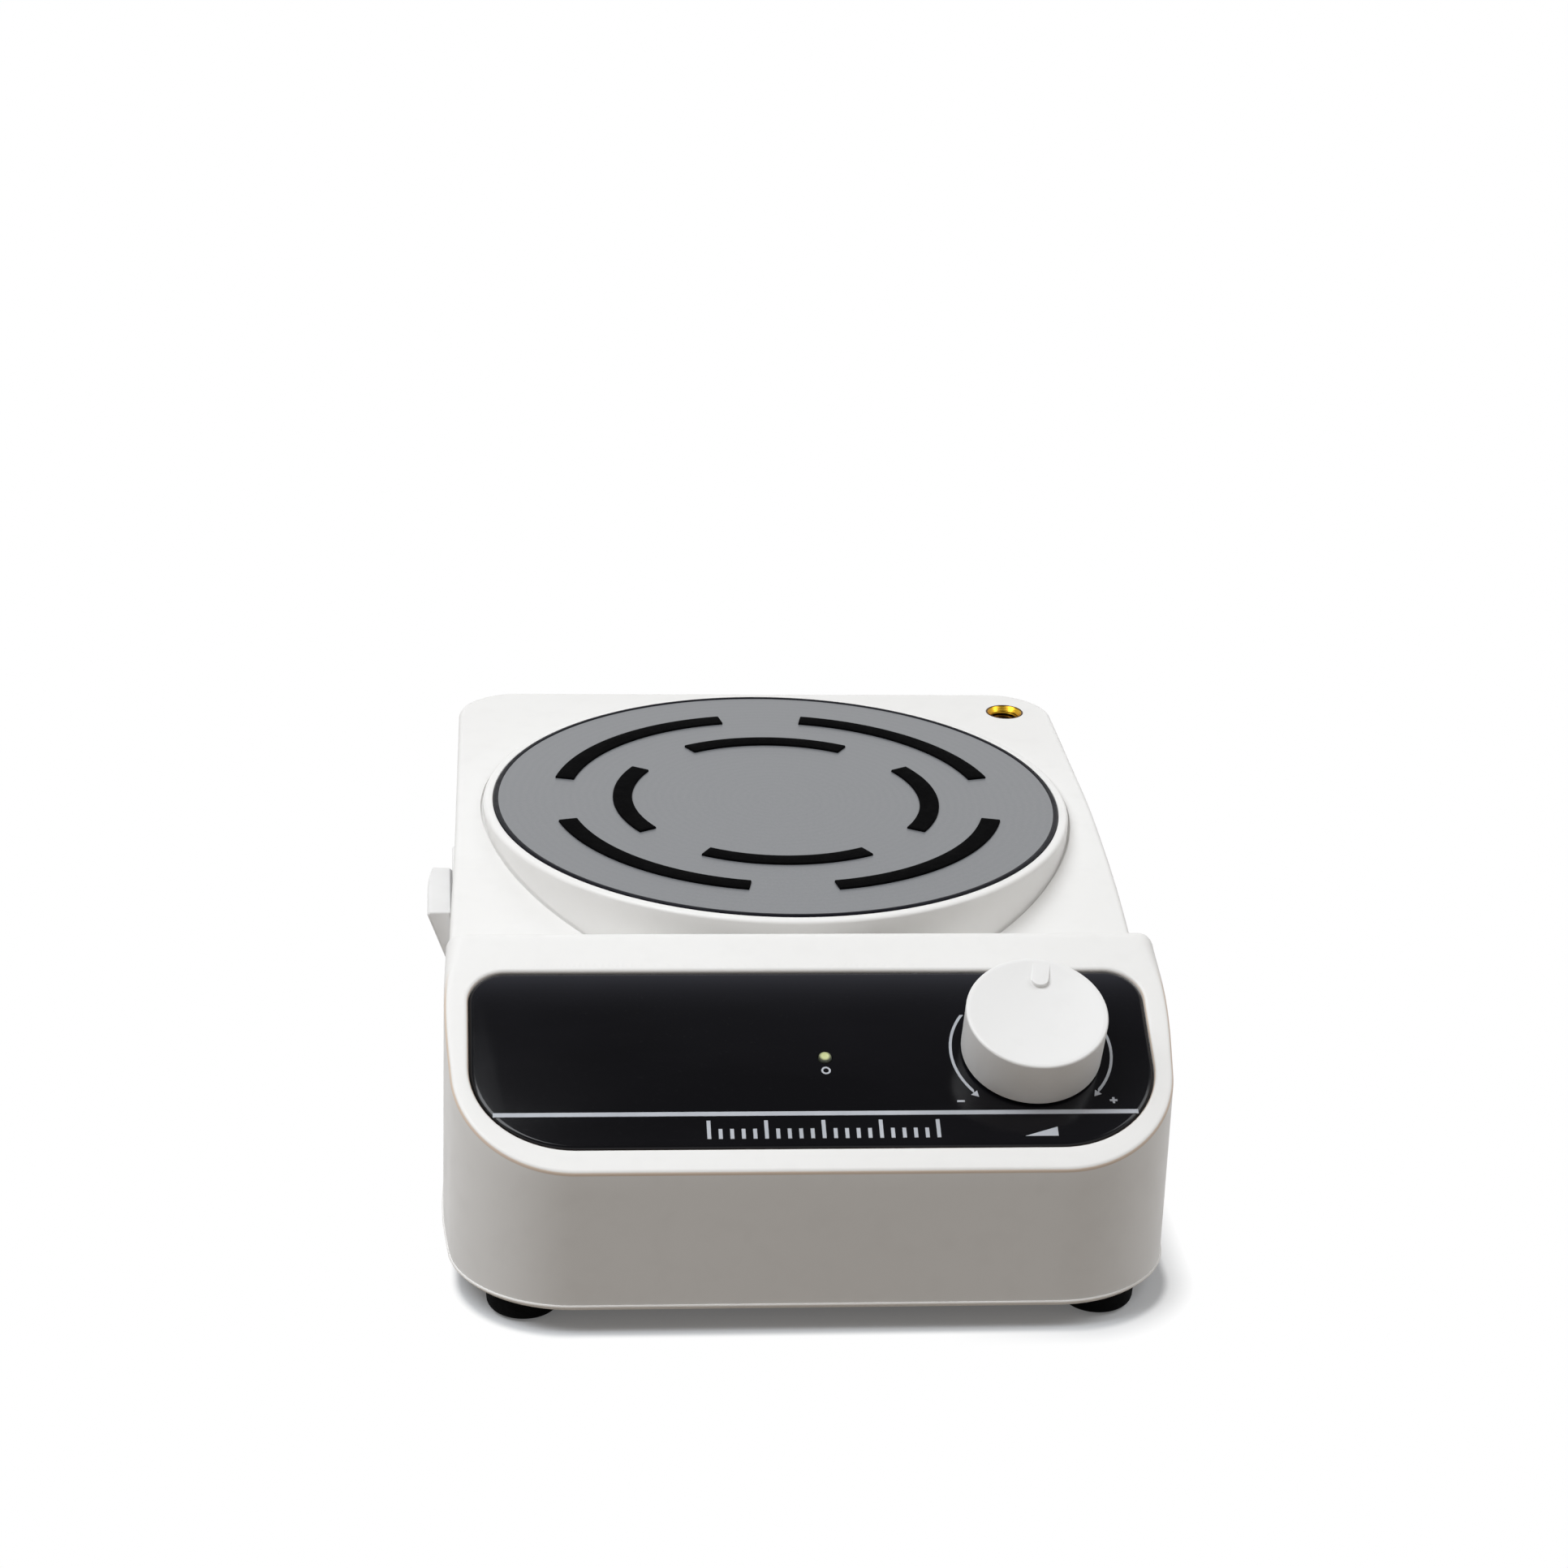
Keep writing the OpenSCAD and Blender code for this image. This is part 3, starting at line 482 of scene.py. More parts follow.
buildCover(cover, openings)
buildPanel(panel)

# speed knob: hollow cap with a dished face and a pointer bar that stands up out of the dish, on its hub
knob = {"low": 15.0, "high": 15.1, "foot": 0.3, "tall": 12.5, "brim": 0.55, "lip": 14.1, "dish": 1.4,
        "skirt": 1.6, "wall": 2.5, "roof": 2.0, "hubR": 5.5, "hubLow": 5.0, "shaftR": 3.02, "socketUp": 0.6,
        "rest": -9.5, "barWide": 3.7, "barFrom": 7.7, "barOver": 0.3, "barRoot": 0.6, "barSink": 0.03,
        "barSoft": 0.16}


def buildKnob(s):
    # face: a shallow ball hollow that rises to the lip; then the brim, the side, the inside and the hub
    h, lip, floor = s["tall"], s["lip"], s["tall"] - s["dish"]
    ball = (lip ** 2 + s["dish"] ** 2) / (2 * s["dish"])
    r = upTo(0, lip, 24)
    hollow = np.column_stack([r, floor + ball - np.sqrt(ball ** 2 - r ** 2)])
    roof = floor - s["roof"]
    bore = roof + s["socketUp"]
    steps = 7
    shell = roundedPath(  # its first corner only says how the hollow comes up to the lip
        [[lip - 1.0, h - 0.18], [lip, h], [s["high"], h], [s["low"], s["foot"]],
         [s["low"] - s["skirt"], s["foot"]], [s["high"] - s["wall"], roof], [s["hubR"], roof],
         [s["hubR"], s["hubLow"]], [s["shaftR"], s["hubLow"]], [s["shaftR"], bore], [0, bore]],
        [0, 0.5, s["brim"], 0.35, 0.25, 0.8, 0.5, 0.3, 0.2, 0.3, 0], steps, False)
    at = slopePoint(*places["knob"], 0.0)
    profile = np.concatenate([hollow[:-2], shell[steps:]])
    piece = makePiece("speedKnob", [turned(profile, at, onSlope, 160)])
    turn = radians(s["rest"])
    across = cos(turn) * panelX + sin(turn) * panelV
    along = cos(turn) * panelV - sin(turn) * panelX
    place = lambda p, w: at + p[:, :1] * across + p[:, 1:] * along + w * panelW

    def bar(grow):  # half round at its inner end, square at the lip
        half = s["barWide"] / 2 + grow
        corners = boxCorners(-half, s["barFrom"] - grow, half, lip + s["barOver"])
        return roundedPath(corners, [half - 0.01, half - 0.01, 0.05, 0.05], 14)

    levels = [(0.0, floor - s["barRoot"])]
    levels += [(m, h - s["barSink"] + d) for m, d in roundEdge(s["barSoft"], 5)]
    carve(piece, "barTool", [slab(bar, levels, place)], "UNION")
    standFor(piece, "dial", "knob", "whiteControl")


buildKnob(knob)
print("panel and knob")

# plate trim: rubber rim ring and the grip arcs let into the plate, with gaps in degrees beside the axes
trim = {"ringIn": 64.9, "ringOut": 66.0, "low": 62.1, "top": 65.3, "arcLow": 64.7, "arcTop": 65.6,
        "arcWide": 4.5, "arcSoft": 0.22, "arcRound": 0.25, "arcSteps": 40, "outerR": 48.4, "innerR": 33.7,
        "gapX": 14.5, "gapY": 11.3}


def gripArc(inner, fromA, toA, s):
    # rounded bar section carried along an arc, drawn in a little at both ends
    soft, n = s["arcSoft"], s["arcSteps"]
    pull, shrink = -np.array(roundEdge(soft, 4)).T
    shrink = np.concatenate([shrink, np.zeros(n), shrink[::-1]])
    short = np.concatenate([pull - soft, np.zeros(n), pull[::-1] - soft]) / (inner + s["arcWide"] / 2)
    t = np.concatenate([np.zeros_like(pull), np.linspace(0, 1, n), np.ones_like(pull)])
    a = (fromA + (toA - fromA) * t + np.where(t < 0.5, short, -short))[:, None]
    section = lambda m: boxCorners(inner + m, s["arcLow"], inner + s["arcWide"] - m, s["arcTop"] - m)
    ring = np.stack([roundedPath(section(m), [0, 0, s["arcRound"], s["arcRound"]], 5) for m in shrink])
    return capped(np.stack([ring[..., 0] * np.cos(a), ring[..., 0] * np.sin(a), ring[..., 1]], -1))


def buildTrim(s):
    # a turned ring; outer arcs between the axes, inner arcs across them
    ring = roundedPath(boxCorners(s["ringIn"], s["low"], s["ringOut"], s["top"]), [0.1, 0.1, 0.35, 0.35], 6)
    piece = makePiece("plateRing", [turned(ring, (0, 0, 0), upright, 240, True)])
    standFor(piece, "housing", "plate_gasket", "ringRubber")
    gaps = radians(s["gapX"]), radians(s["gapY"])
    outer = [(k * quarter + gaps[k % 2], (k + 1) * quarter - gaps[(k + 1) % 2]) for k in range(4)]
    inner = [((k - 0.5) * quarter + gaps[0], (k + 0.5) * quarter - gaps[0]) for k in range(4)]
    piece = makePiece("gripArcsOuter", [gripArc(s["outerR"], a, b, s) for a, b in outer])
    standFor(piece, "housing", "grip_arcs_outer", "gripRubber")
    piece = makePiece("gripArcsInner", [gripArc(s["innerR"], a, b, s) for a, b in inner])
    standFor(piece, "housing", "grip_arcs_inner", "gripRubber")


buildTrim(trim)
print("plate trim")

# brass rod socket: turned sleeve with a bevelled mouth and a helical thread inside
socket = {"outer": 4.6, "bore": 3.4, "rim": 0.25, "bevel": 1.2, "crest": 0.2, "pitch": 1.0, "runOut": 0.6,
          "low": 42.5, "top": 63.4, "floor": 48.5, "tail": 0.4, "tip": 1.2, "land": 1.35,
          "flank": 4.0, "around": 72, "rows": 170}


def buildSocket(s):
    # the bore is a winding band: radius falls to the thread crest and back once for each step of pitch
    around, mouth, tail = s["around"], s["top"] - s["bevel"], s["floor"] + s["tail"]
    outside = roundedPath([[0, s["low"]], [s["outer"], s["low"]], [s["outer"], s["top"]],
                           [s["outer"] - s["rim"], s["top"]], [s["bore"] + 0.06, mouth + 0.08]],
                          [0, 0.2, 0.12, 0.12, 0], 5, False)
    z = np.linspace(mouth, tail, s["rows"])
    a = upTo(0, 4 * quarter, around)
    phase = (z[:, None] / s["pitch"] - a[None] / (4 * quarter)) % 1.0
    ridge = np.clip(s["land"] - np.abs(phase - 0.5) * s["flank"], 0, 1)
    fade = np.clip(np.minimum(mouth - z, z - tail) / s["runOut"], 0, 1)[:, None]
    bore = s["bore"] - s["crest"] * ridge * fade
    spun = lambda profile: np.repeat(np.asarray(profile)[:, None], around, 1)
    rz = np.concatenate([
        spun(np.concatenate([outside, [[s["bore"] + 0.03, mouth + 0.03]]])),
        np.stack([bore, spun(z)], -1),
        spun([[s["bore"], s["floor"]], [0.0, s["floor"] - s["tip"]]]),
    ])
    x, y = places["rod"]
    rows = np.stack([x + rz[..., 0] * np.cos(a), y + rz[..., 0] * np.sin(a), rz[..., 1]], -1)
    piece = makePiece("rodSocket", [(rows, gridQuads(len(rows), around), [])], 40.0)
    standFor(piece, "housing", "rod_socket", "brass")


buildSocket(socket)

# feet: soft rubber discs, hollow in the middle round their screws
feet = {"at": [(-61, -120.2), (61, -120.2), (-48, 60), (48, 60)], "wide": 8.0, "draft": 0.3, "tall": 5.0,
        "hole": 1.9, "well": 3.8, "sink": 3.0, "belly": 2.2}


def buildFeet(s):
    # one profile turned at each of the four places
    profile = roundedPath([[s["hole"], s["sink"]], [s["well"], s["sink"]], [s["well"], 0],
                           [s["wide"] - s["draft"], 0], [s["wide"], s["tall"]], [s["hole"], s["tall"]]],
                          [0.1, 0.2, 0.4, s["belly"], 0.3, 0.1], 9)
    piece = makePiece("rubberFeet", [turned(profile, (x, y, 0), upright, 64, True) for x, y in s["at"]])
    standFor(piece, "housing", "feet", "footRubber")


buildFeet(feet)

# rocker switch on the left wall: snap-in frame, and a two-faced rocker on a pin
switch = {"faceX": -76.5, "flush": 1.0, "thick": 2.0, "deep": 17.8, "well": 13.0, "body": (27.4, 32.2),
          "flange": (30.6, 35.8), "mouth": (25.7, 30.6), "pin": 2.0, "pinR": 1.5, "pinOver": 0.8, "out": 5.2,
          "up": 13.3, "clear": 0.1, "long": 25.2, "soft": 0.6, "bow": 2.1, "bowFrom": -2.3,
          "under": [(0.9, -13.35), (3.5, -9.0), (3.5, 9.0), (0.9, 13.35)]}


def buildFrame(s):
    # rounded rectangles round the section of the frame: outline, growth, corner and depth from the face
    flush, thick = s["flush"], s["thick"]
    hoops = [
        ("body", 0.0, 1.0, s["deep"]), ("body", 0.0, 1.0, thick), ("flange", 0.0, 1.5, thick),
        ("flange", 0.0, 1.5, flush + 0.4), ("flange", -0.2, 1.4, flush + 0.15), ("flange", -0.6, 1.2, flush),
        ("mouth", 0.7, 0.9, flush), ("mouth", 0.2, 0.7, flush + 0.12), ("mouth", 0.0, 0.6, flush + 0.4),
        ("mouth", 0.0, 0.6, s["well"])]
    rows = [onLeftWall(hoop(s[k][0] + grow, s[k][1] + grow, r), s["faceX"] + d) for k, grow, r, d in hoops]
    piece = makePiece("switchFrame", [capped(np.stack(rows))], 30.0)
    standFor(piece, "housing", "switch_frame", "whiteControl")


def buildRocker(s):
    # a symmetrical section with two faces, carried along the pin, its rear corners drawn in, then tilted
    reach = hypot(s["out"] + s["pin"], s["up"])
    turnA = atan2(s["up"], s["out"] + s["pin"])
    lean = (acos((s["pin"] - s["clear"]) / reach) - turnA) / 2
    tipX, tipZ = reach * cos(turnA + lean), reach * sin(turnA + lean)
    notchX = (s["pin"] - s["clear"]) / cos(lean)
    path = roundedPath([(-tipX, tipZ), (-notchX, 0), (-tipX, -tipZ), *s["under"]],
                       [0.9, 2.5, 0.9, 0.5, 0.5, 0.5, 0.5], 7)
    flow = np.roll(path, -1, 0) - np.roll(path, 1, 0)
    inward = unit(np.column_stack([-flow[:, 1], flow[:, 0]]))
    area = (path[:, 0] * np.roll(path[:, 1], -1) - np.roll(path[:, 0], -1) * path[:, 1]).sum()
    inward *= copysign(1.0, area)
    half, start = s["long"] / 2, s["bowFrom"]
    ends = [(-d, -m) for m, d in roundEdge(s["soft"], 5)]
    levels = [(m, -half + d) for m, d in ends]
    levels += [(0.0, y) for y in upTo(start, half - s["soft"], 15)]
    levels += [(m, half - d) for m, d in ends[::-1]]
    margin, along = np.array(levels).T
    bowed = np.clip((along - start) / (half - start), 0, 1)
    cut = path[:, 0].min() + s["bow"] * (1 - np.sqrt(1 - bowed ** 2))  # an ellipse
    ring = path + margin[:, None, None] * inward
    ring[..., 0] = np.maximum(ring[..., 0], cut[:, None])
    ring = ring @ np.array([[cos(lean), sin(lean)], [-sin(lean), cos(lean)]])
    x, (y, z) = s["faceX"] + s["pin"], places["switch"]
    depth = np.broadcast_to(y + along[:, None], ring.shape[:2])
    rows = np.stack([x + ring[..., 0], depth, z + ring[..., 1]], -1)
    pinEnd = half + s["pinOver"]
    pin = roundedPath([[0, -pinEnd], [s["pinR"], -pinEnd], [s["pinR"], pinEnd], [0, pinEnd]], 0.2, 4, False)
    alongWall = (upright[0], upright[2], upright[1])
    piece = makePiece("switchRocker", [capped(rows), turned(pin, (x, y, z), alongWall, 32)], 40.0)
    standFor(piece, "rocker", "switch_rocker", "whiteControl")


buildFrame(switch)
buildRocker(switch)

# supply inlet on the rear wall: round jack, open in the middle for its centre pin
inlet = {"faceY": 73.3, "face": 7.0, "flange": 1.2, "body": 5.5, "hole": 3.2, "holeDeep": 9.0, "deep": 18.0}


def buildInlet(s):
    # one profile turned about the inlet's axis, from the floor of its hole to its inner end
    x, z = places["inlet"]
    profile = roundedPath([[0, s["holeDeep"]], [s["hole"], s["holeDeep"]], [s["hole"], 0], [s["face"], 0],
                           [s["face"], s["flange"]], [s["body"], s["flange"]], [s["body"], s["deep"]],
                           [0, s["deep"]]], [0, 0.2, 0.35, 0.35, 0.1, 0.1, 0.3, 0], 6, False)
    piece = makePiece("inletJack", [turned(profile, (x, s["faceY"], z), rearWall, 72)])
    standFor(piece, "housing", "inlet_body", "partBlack")


buildInlet(inlet)
print("socket, feet, switch and inlet")


# finishes: every one reads the piece's own coordinates in metres and gives what goes into the shader

def plug(node, inputs):
    # an output is linked to its input, any other value is set on it
    for key, value in inputs.items():
        if isinstance(value, bpy.types.NodeSocket):
            node.id_data.links.new(value, node.inputs[key])
        else:
            node.inputs[key].default_value = value
    return node.outputs


def addNode(kind, inputs, tree=None, **settings):
    # a new node in a tree, or else beside the nodes whose outputs it takes in
    if tree is None:
        tree = next(v.id_data for v in inputs.values() if isinstance(v, bpy.types.NodeSocket))
    node = tree.nodes.new("ShaderNode" + kind)
    for key, value in settings.items():
        setattr(node, key, value)
    return plug(node, inputs)


def newFinish(name):
    # an empty finish: its material, its shader and the coordinates
    mat = bpy.data.materials.new(name)
    mat.use_nodes = True
    where = addNode("TexCoord", {}, mat.node_tree)["Object"]
    return mat, mat.node_tree.nodes["Principled BSDF"], where


def shifted(where, move=(0, 0, 0), scale=(1, 1, 1)):
    # moves or stretches a pattern; the place is in mm about the plate centre
    location = [-(m + c) * mm * s for m, c, s in zip(move, caseShift, scale)]
    return addNode("Mapping", {"Vector": where, "Scale": scale, "Location": location})["Vector"]


def noise(where, scale, detail=2.0, rough=0.5):
    inputs = {"Vector": where, "Scale": scale, "Detail": detail, "Roughness": rough}
    return addNode("TexNoise", inputs)["Fac"]


def rings(where, scale, distortion, detail):
    # turned lines about an upright axis
    inputs = {"Vector": where, "Scale": scale, "Distortion": distortion, "Detail": detail}
    return addNode("TexWave", inputs, wave_type="RINGS", rings_direction="Z")["Fac"]


def spread(value, low, high, fromLow=0.3, fromHigh=0.7, **settings):
    # one range of values brought to another and held at its ends
    inputs = {"Value": value, "From Min": fromLow, "From Max": fromHigh, "To Min": low, "To Max": high}
    return addNode("MapRange", inputs, **settings)["Result"]


def blendColours(share, first, second):
    # in the mix node, inputs 6 and 7 and output 2 are the colours
    first, second = ((*c, 1) if isinstance(c, tuple) else c for c in (first, second))
    return addNode("Mix", {"Factor": share, 6: first, 7: second}, data_type="RGBA")[2]


def combine(first, second, how="ADD"):
    return addNode("Math", {0: first, 1: second}, operation=how)[0]


def vectorMath(first, second, how):
    return addNode("VectorMath", {0: first, 1: second}, operation=how)


def distance(vector):
    return vectorMath(vector, (0, 0, 0), "LENGTH")["Value"]


def reading(where, axis):
    return addNode("SeparateXYZ", {0: where})[axis]


def relief(height, strength, deep=0.00002):
    return addNode("Bump", {"Height": height, "Distance": deep, "Strength": strength})["Normal"]


def stripe(where, s):
    # one inside a band measured along a direction and in front of a limit, nothing outside
    height = vectorMath(where, s["along"], "DOT_PRODUCT")["Value"]
    middle, half = (s["low"] + s["high"]) / 2, (s["high"] - s["low"]) / 2
    off = combine(combine(height, middle, "SUBTRACT"), 0, "ABSOLUTE")
    fade = 0.008  # metres in which the band dies away behind the limit
    front = spread(reading(where, "Y"), 1, 0, s["front"], s["front"] + fade)
    return combine(spread(off, s["share"], 0, half * 0.5, half), front, "MULTIPLY")


def mouldedFinish(where, s):
    # moulded plastic and rubber: slow drift of tone, finer mottle, spark grain in gloss and relief
    drift = noise(where, s["drift"], 3.0)
    mottle = noise(where, s["drift"] * 11)
    grain = noise(where, s["grain"], rough=0.6)
    tone = blendColours(spread(drift, 0, 1), s["colour"], s["shade"])
    speck = tuple(c * 0.97 for c in s["shade"])
    tone = blendColours(spread(mottle, 0, 0.5, 0.5, 0.8), tone, speck)
    # painted lines, where a look lists them: a painted reflection and a painted highlight on the shell
    for paintedLine in s["bands"]:
        tone = blendColours(stripe(where, paintedLine), tone, paintedLine["colour"])
    return {
        "Base Color": tone, "Specular IOR Level": s["specular"],
        "Roughness": spread(combine(grain, mottle), *s["rough"], 0.7, 1.3),
        "Normal": relief(grain, s["strength"])}


def metalFinish(where, s):
    # bare or plated metal: drawn or turned lines, with brighter and duller patches
    lines = noise(shifted(where, scale=s["stretch"]), s["lines"], rough=0.6)
    patch = noise(where, s["patch"], 3.0)
    return {
        "Base Color": blendColours(spread(patch, 0, 1), s["colour"], s["shade"]), "Metallic": 1.0,
        "Roughness": spread(combine(lines, patch), *s["rough"], 0.7, 1.3),
        "Normal": relief(lines, s["relief"], s["deep"])}


def moulded(colour, shade, rough=(0.4, 0.52), grain=2600.0, strength=0.12, drift=16.0, specular=0.5,
            bands=()):
    return {"colour": colour, "shade": shade, "rough": rough, "grain": grain, "strength": strength,
            "drift": drift, "specular": specular, "bands": bands}


def metal(colour, shade, rough=(0.22, 0.4), lines=900.0, stretch=(1, 1, 0.08), patch=60.0):
    return {"colour": colour, "shade": shade, "rough": rough, "lines": lines, "stretch": stretch,
            "patch": patch, "relief": 0.12, "deep": 0.00003}


slopeLevel = float((panelAt + caseShift) @ panelW) * mm
# painted lines on the shell: a painted reflection as a tan line below the rim's outer edge, a painted
# highlight as a pale line along the lower edge
shellPaintedLines = [  # tan line below the rim's outer edge, pale line along the lower edge
    {"along": tuple(panelW), "low": slopeLevel - 0.00095, "high": slopeLevel - 0.0002, "front": -0.06,
     "share": 0.85, "colour": (0.7, 0.55, 0.43)},
    {"along": (0, 0, 1), "low": 0.0053, "high": 0.0063, "front": 0.2,
     "share": 0.9, "colour": (0.97, 0.93, 0.88)},
]
# colour, a second shade, span of roughness, then grain, its strength, drift and gloss where they differ
mouldedLooks = {
    "whiteShell": moulded((0.862, 0.855, 0.842), (0.838, 0.829, 0.814), bands=shellPaintedLines),
    "whiteControl": moulded((0.866, 0.862, 0.856), (0.842, 0.836, 0.828), (0.34, 0.45)),
    # the base is paler and creamier than the cover: partly its own tone, partly a painted highlight for floor
    # light on its shaded lip
    "baseShell": moulded((0.93, 0.9, 0.86), (0.9, 0.87, 0.83), (0.45, 0.6)),
    "footRubber": moulded((0.0014, 0.0014, 0.0016), (0.003, 0.003, 0.003), (0.65, 0.85), 1600.0, 0.3,
                          drift=40.0, specular=0.04),
    "gripRubber": moulded((0.0009, 0.0009, 0.0011), (0.0022, 0.0022, 0.0024), (0.7, 0.88), 1900.0, 0.3,
                          drift=40.0, specular=0.02),
    "ringRubber": moulded((0.002, 0.002, 0.005), (0.004, 0.004, 0.008), (0.35, 0.5), 1900.0, 0.15,
                          drift=40.0, specular=0.12),
    "printGrey": moulded((0.5, 0.52, 0.56), (0.42, 0.44, 0.48), (0.4, 0.5), 1500.0, 0.1, drift=90.0),
    "ferrite": moulded((0.05, 0.05, 0.052), (0.035, 0.035, 0.037), (0.6, 0.8), 3000.0, 0.3),
    "capPlastic": moulded((0.72, 0.7, 0.62), (0.66, 0.63, 0.55)),
    "holderPlastic": moulded((0.03, 0.03, 0.032), (0.045, 0.045, 0.047)),
    "boardGreen": moulded((0.015, 0.12, 0.045), (0.01, 0.085, 0.03), (0.25, 0.4), 700.0),
    "sleeveBlue": moulded((0.015, 0.03, 0.12), (0.01, 0.02, 0.085), (0.25, 0.4)),
    "partBlack": moulded((0.014, 0.014, 0.015), (0.022, 0.022, 0.023), (0.35, 0.5)),
    "leadRed": moulded((0.4, 0.015, 0.012), (0.3, 0.01, 0.01), (0.3, 0.45), 900.0),
    "leadBlack": moulded((0.012, 0.012, 0.012), (0.02, 0.02, 0.02), (0.3, 0.45), 900.0),
    "leadBlue": moulded((0.015, 0.06, 0.3), (0.01, 0.04, 0.22), (0.3, 0.45), 900.0),
    "potGreen": moulded((0.02, 0.16, 0.08), (0.015, 0.12, 0.06)),
}
# colour, its darker shade, span of roughness, then lines, their stretch and patches where they differ
metalLooks = {
    "pinBrass": metal((0.8, 0.6, 0.2), (0.7, 0.5, 0.16)),
    "steel": metal((0.62, 0.62, 0.62), (0.5, 0.5, 0.51)),
    "zincSheet": metal((0.6, 0.61, 0.63), (0.48, 0.5, 0.53), (0.3, 0.5), 400.0, (1, 0.1, 1), 90.0),
    "canSteel": metal((0.5, 0.5, 0.51), (0.4, 0.4, 0.41), (0.28, 0.45)),
    "bronze": metal((0.45, 0.28, 0.12), (0.36, 0.21, 0.09), (0.4, 0.6), 2400.0, (1, 1, 1)),
    "nickel": metal((0.62, 0.6, 0.56), (0.52, 0.5, 0.47), (0.15, 0.3), 300.0, (1, 1, 1)),
    "sinkAlu": metal((0.6, 0.61, 0.62), (0.5, 0.5, 0.52), (0.3, 0.5), 900.0, (1, 0.06, 0.06)),
}

panelFilm = {"colour": (0.0026, 0.0025, 0.0036), "smear": (0.0055, 0.0053, 0.0072),
             "speck": (0.008, 0.008, 0.009), "haze": (0.037, 0.0375, 0.0455), "hazeZ": (0.0402, 0.0597),
             "hazeFall": 11.0, "dust": 1500.0, "wipe": 24.0, "wipeStretch": (0.35, 1, 1), "wave": 60.0,
             "rough": (0.12, 0.2), "specular": 0.26, "relief": 0.05}


def filmFinish(where, s):
    # glossy black sheet: a painted sheen lightens it towards its upper edge, with very faint dust and wiped
    # smears in the gloss
    dust = noise(where, s["dust"], 1.0)
    wipe = noise(shifted(where, scale=s["wipeStretch"]), s["wipe"], 4.0, 0.6)
    # painted sheen: the colour lightens towards the panel's upper edge
    haze = combine(spread(reading(where, "Z"), 0, 1, *s["hazeZ"]), s["hazeFall"], "POWER")
    smear = blendColours(spread(wipe, 0, 1, 0.45, 0.75), s["colour"], s["smear"])
    sheet = blendColours(spread(dust, 0, 0.5, 0.66, 0.85), smear, s["speck"])
    dull = combine(wipe, spread(dust, 0, 0.3, 0.6, 0.8))
    return {
        "Base Color": blendColours(haze, sheet, s["haze"]), "Specular IOR Level": s["specular"],
        "Roughness": spread(dull, *s["rough"], 0.3, 0.9),
        "Normal": relief(noise(where, s["wave"], 1.0), s["relief"])}


plateCoat = {"colour": (0.160, 0.166, 0.177), "shade": (0.19, 0.196, 0.207), "worn": 1.12, "fleck": 1900.0,
             "drift": 22.0, "wiping": 160.0, "rough": (0.3, 0.44), "coat": 0.25, "coatRough": 0.2,
             "relief": 0.15}


def plateFinish(where, s):
    # grey stoved coat: fine two-tone fleck, slow drift and light wiping marks round the plate's middle
    fleck = noise(where, s["fleck"], rough=0.7)
    drift = noise(where, s["drift"], 3.0)
    wiping = rings(shifted(where), s["wiping"], 3, 3)
    tone = blendColours(spread(fleck, 0, 1, 0.35, 0.65), s["colour"], s["shade"])
    worn = tuple(c * s["worn"] for c in s["colour"])
    mixed = combine(combine(fleck, 0.9, "MULTIPLY"), combine(wiping, 0.1, "MULTIPLY"))
    return {
        "Base Color": blendColours(spread(drift, 0, 0.35), tone, worn),
        "Roughness": spread(mixed, *s["rough"], 0.25, 0.75), "Normal": relief(fleck, s["relief"]),
        "Coat Weight": s["coat"], "Coat Roughness": s["coatRough"]}


brass = {"colour": (0.72, 0.44, 0.035), "shade": (0.55, 0.3, 0.02), "deep": (0.07, 0.03, 0.005),
         "deepZ": (0.0613, 0.0625), "rimR": (0.00412, 0.0043), "rough": (0.26, 0.42), "lines": 900.0,
         "patch": 260.0, "relief": 0.25, "at": (*places["rod"], 0.0)}


def brassFinish(where, s):
    # turned brass: fine rings about the socket's axis, tarnish in patches, painted shade that turns it dark
    # brown down the bore, and browner at the rim
    lines = rings(shifted(where, s["at"]), s["lines"], 1.5, 2)
    patch = noise(where, s["patch"], 3.0)
    bright = blendColours(spread(patch, 0, 1), s["colour"], s["shade"])
    # painted shade: the colour goes dark brown down the bore; the rim takes the same dark colour
    down = spread(reading(where, "Z"), 1, 0, *s["deepZ"])
    rim = spread(distance(shifted(where, s["at"], (1, 1, 0))), 0, 1, *s["rimR"])
    return {
        "Base Color": blendColours(combine(down, rim, "MAXIMUM"), bright, s["deep"]), "Metallic": 1.0,
        "Roughness": spread(combine(lines, patch), *s["rough"], 0.4, 1.5),
        "Normal": relief(lines, s["relief"])}


lampX, lampV = places["lamp"]  # the heart of the lens is a little up the slope from here
lampLens = {"colour": (0.55, 0.58, 0.32), "shade": (0.4, 0.44, 0.2), "rim": (0.05, 0.055, 0.04),
            "cloud": 900.0, "rough": (0.2, 0.35), "at": tuple(slopePoint(lampX, lampV + 0.3, 0.0)),
            "heartR": (0.0007, 0.0013), "glow": (0.7, 0.75, 0.4), "strength": 0.2, "milk": 0.3,
            "milkR": (0.001, 0.001, 0.0005)}


def lensFinish(where, s):
    # milky lamp lens: cloudy and faintly lit at its heart; its colour pale at the heart and dark towards its
    # rim, as painted light of the lit lamp and painted shade at the rim
    cloud = noise(where, s["cloud"])
    heart = spread(distance(shifted(where, s["at"])), 1, 0, *s["heartR"])
    milk = blendColours(spread(cloud, 0, 1), s["colour"], s["shade"])
    return {
        # painted light and shade: the colour is pale at the lens's heart and dark towards its rim
        "Base Color": blendColours(heart, s["rim"], milk), "Roughness": spread(cloud, *s["rough"]),
        "Emission Color": blendColours(heart, (0.0, 0.0, 0.0), s["glow"]),
        "Emission Strength": s["strength"], "Subsurface Weight": s["milk"], "Subsurface Radius": s["milkR"]}


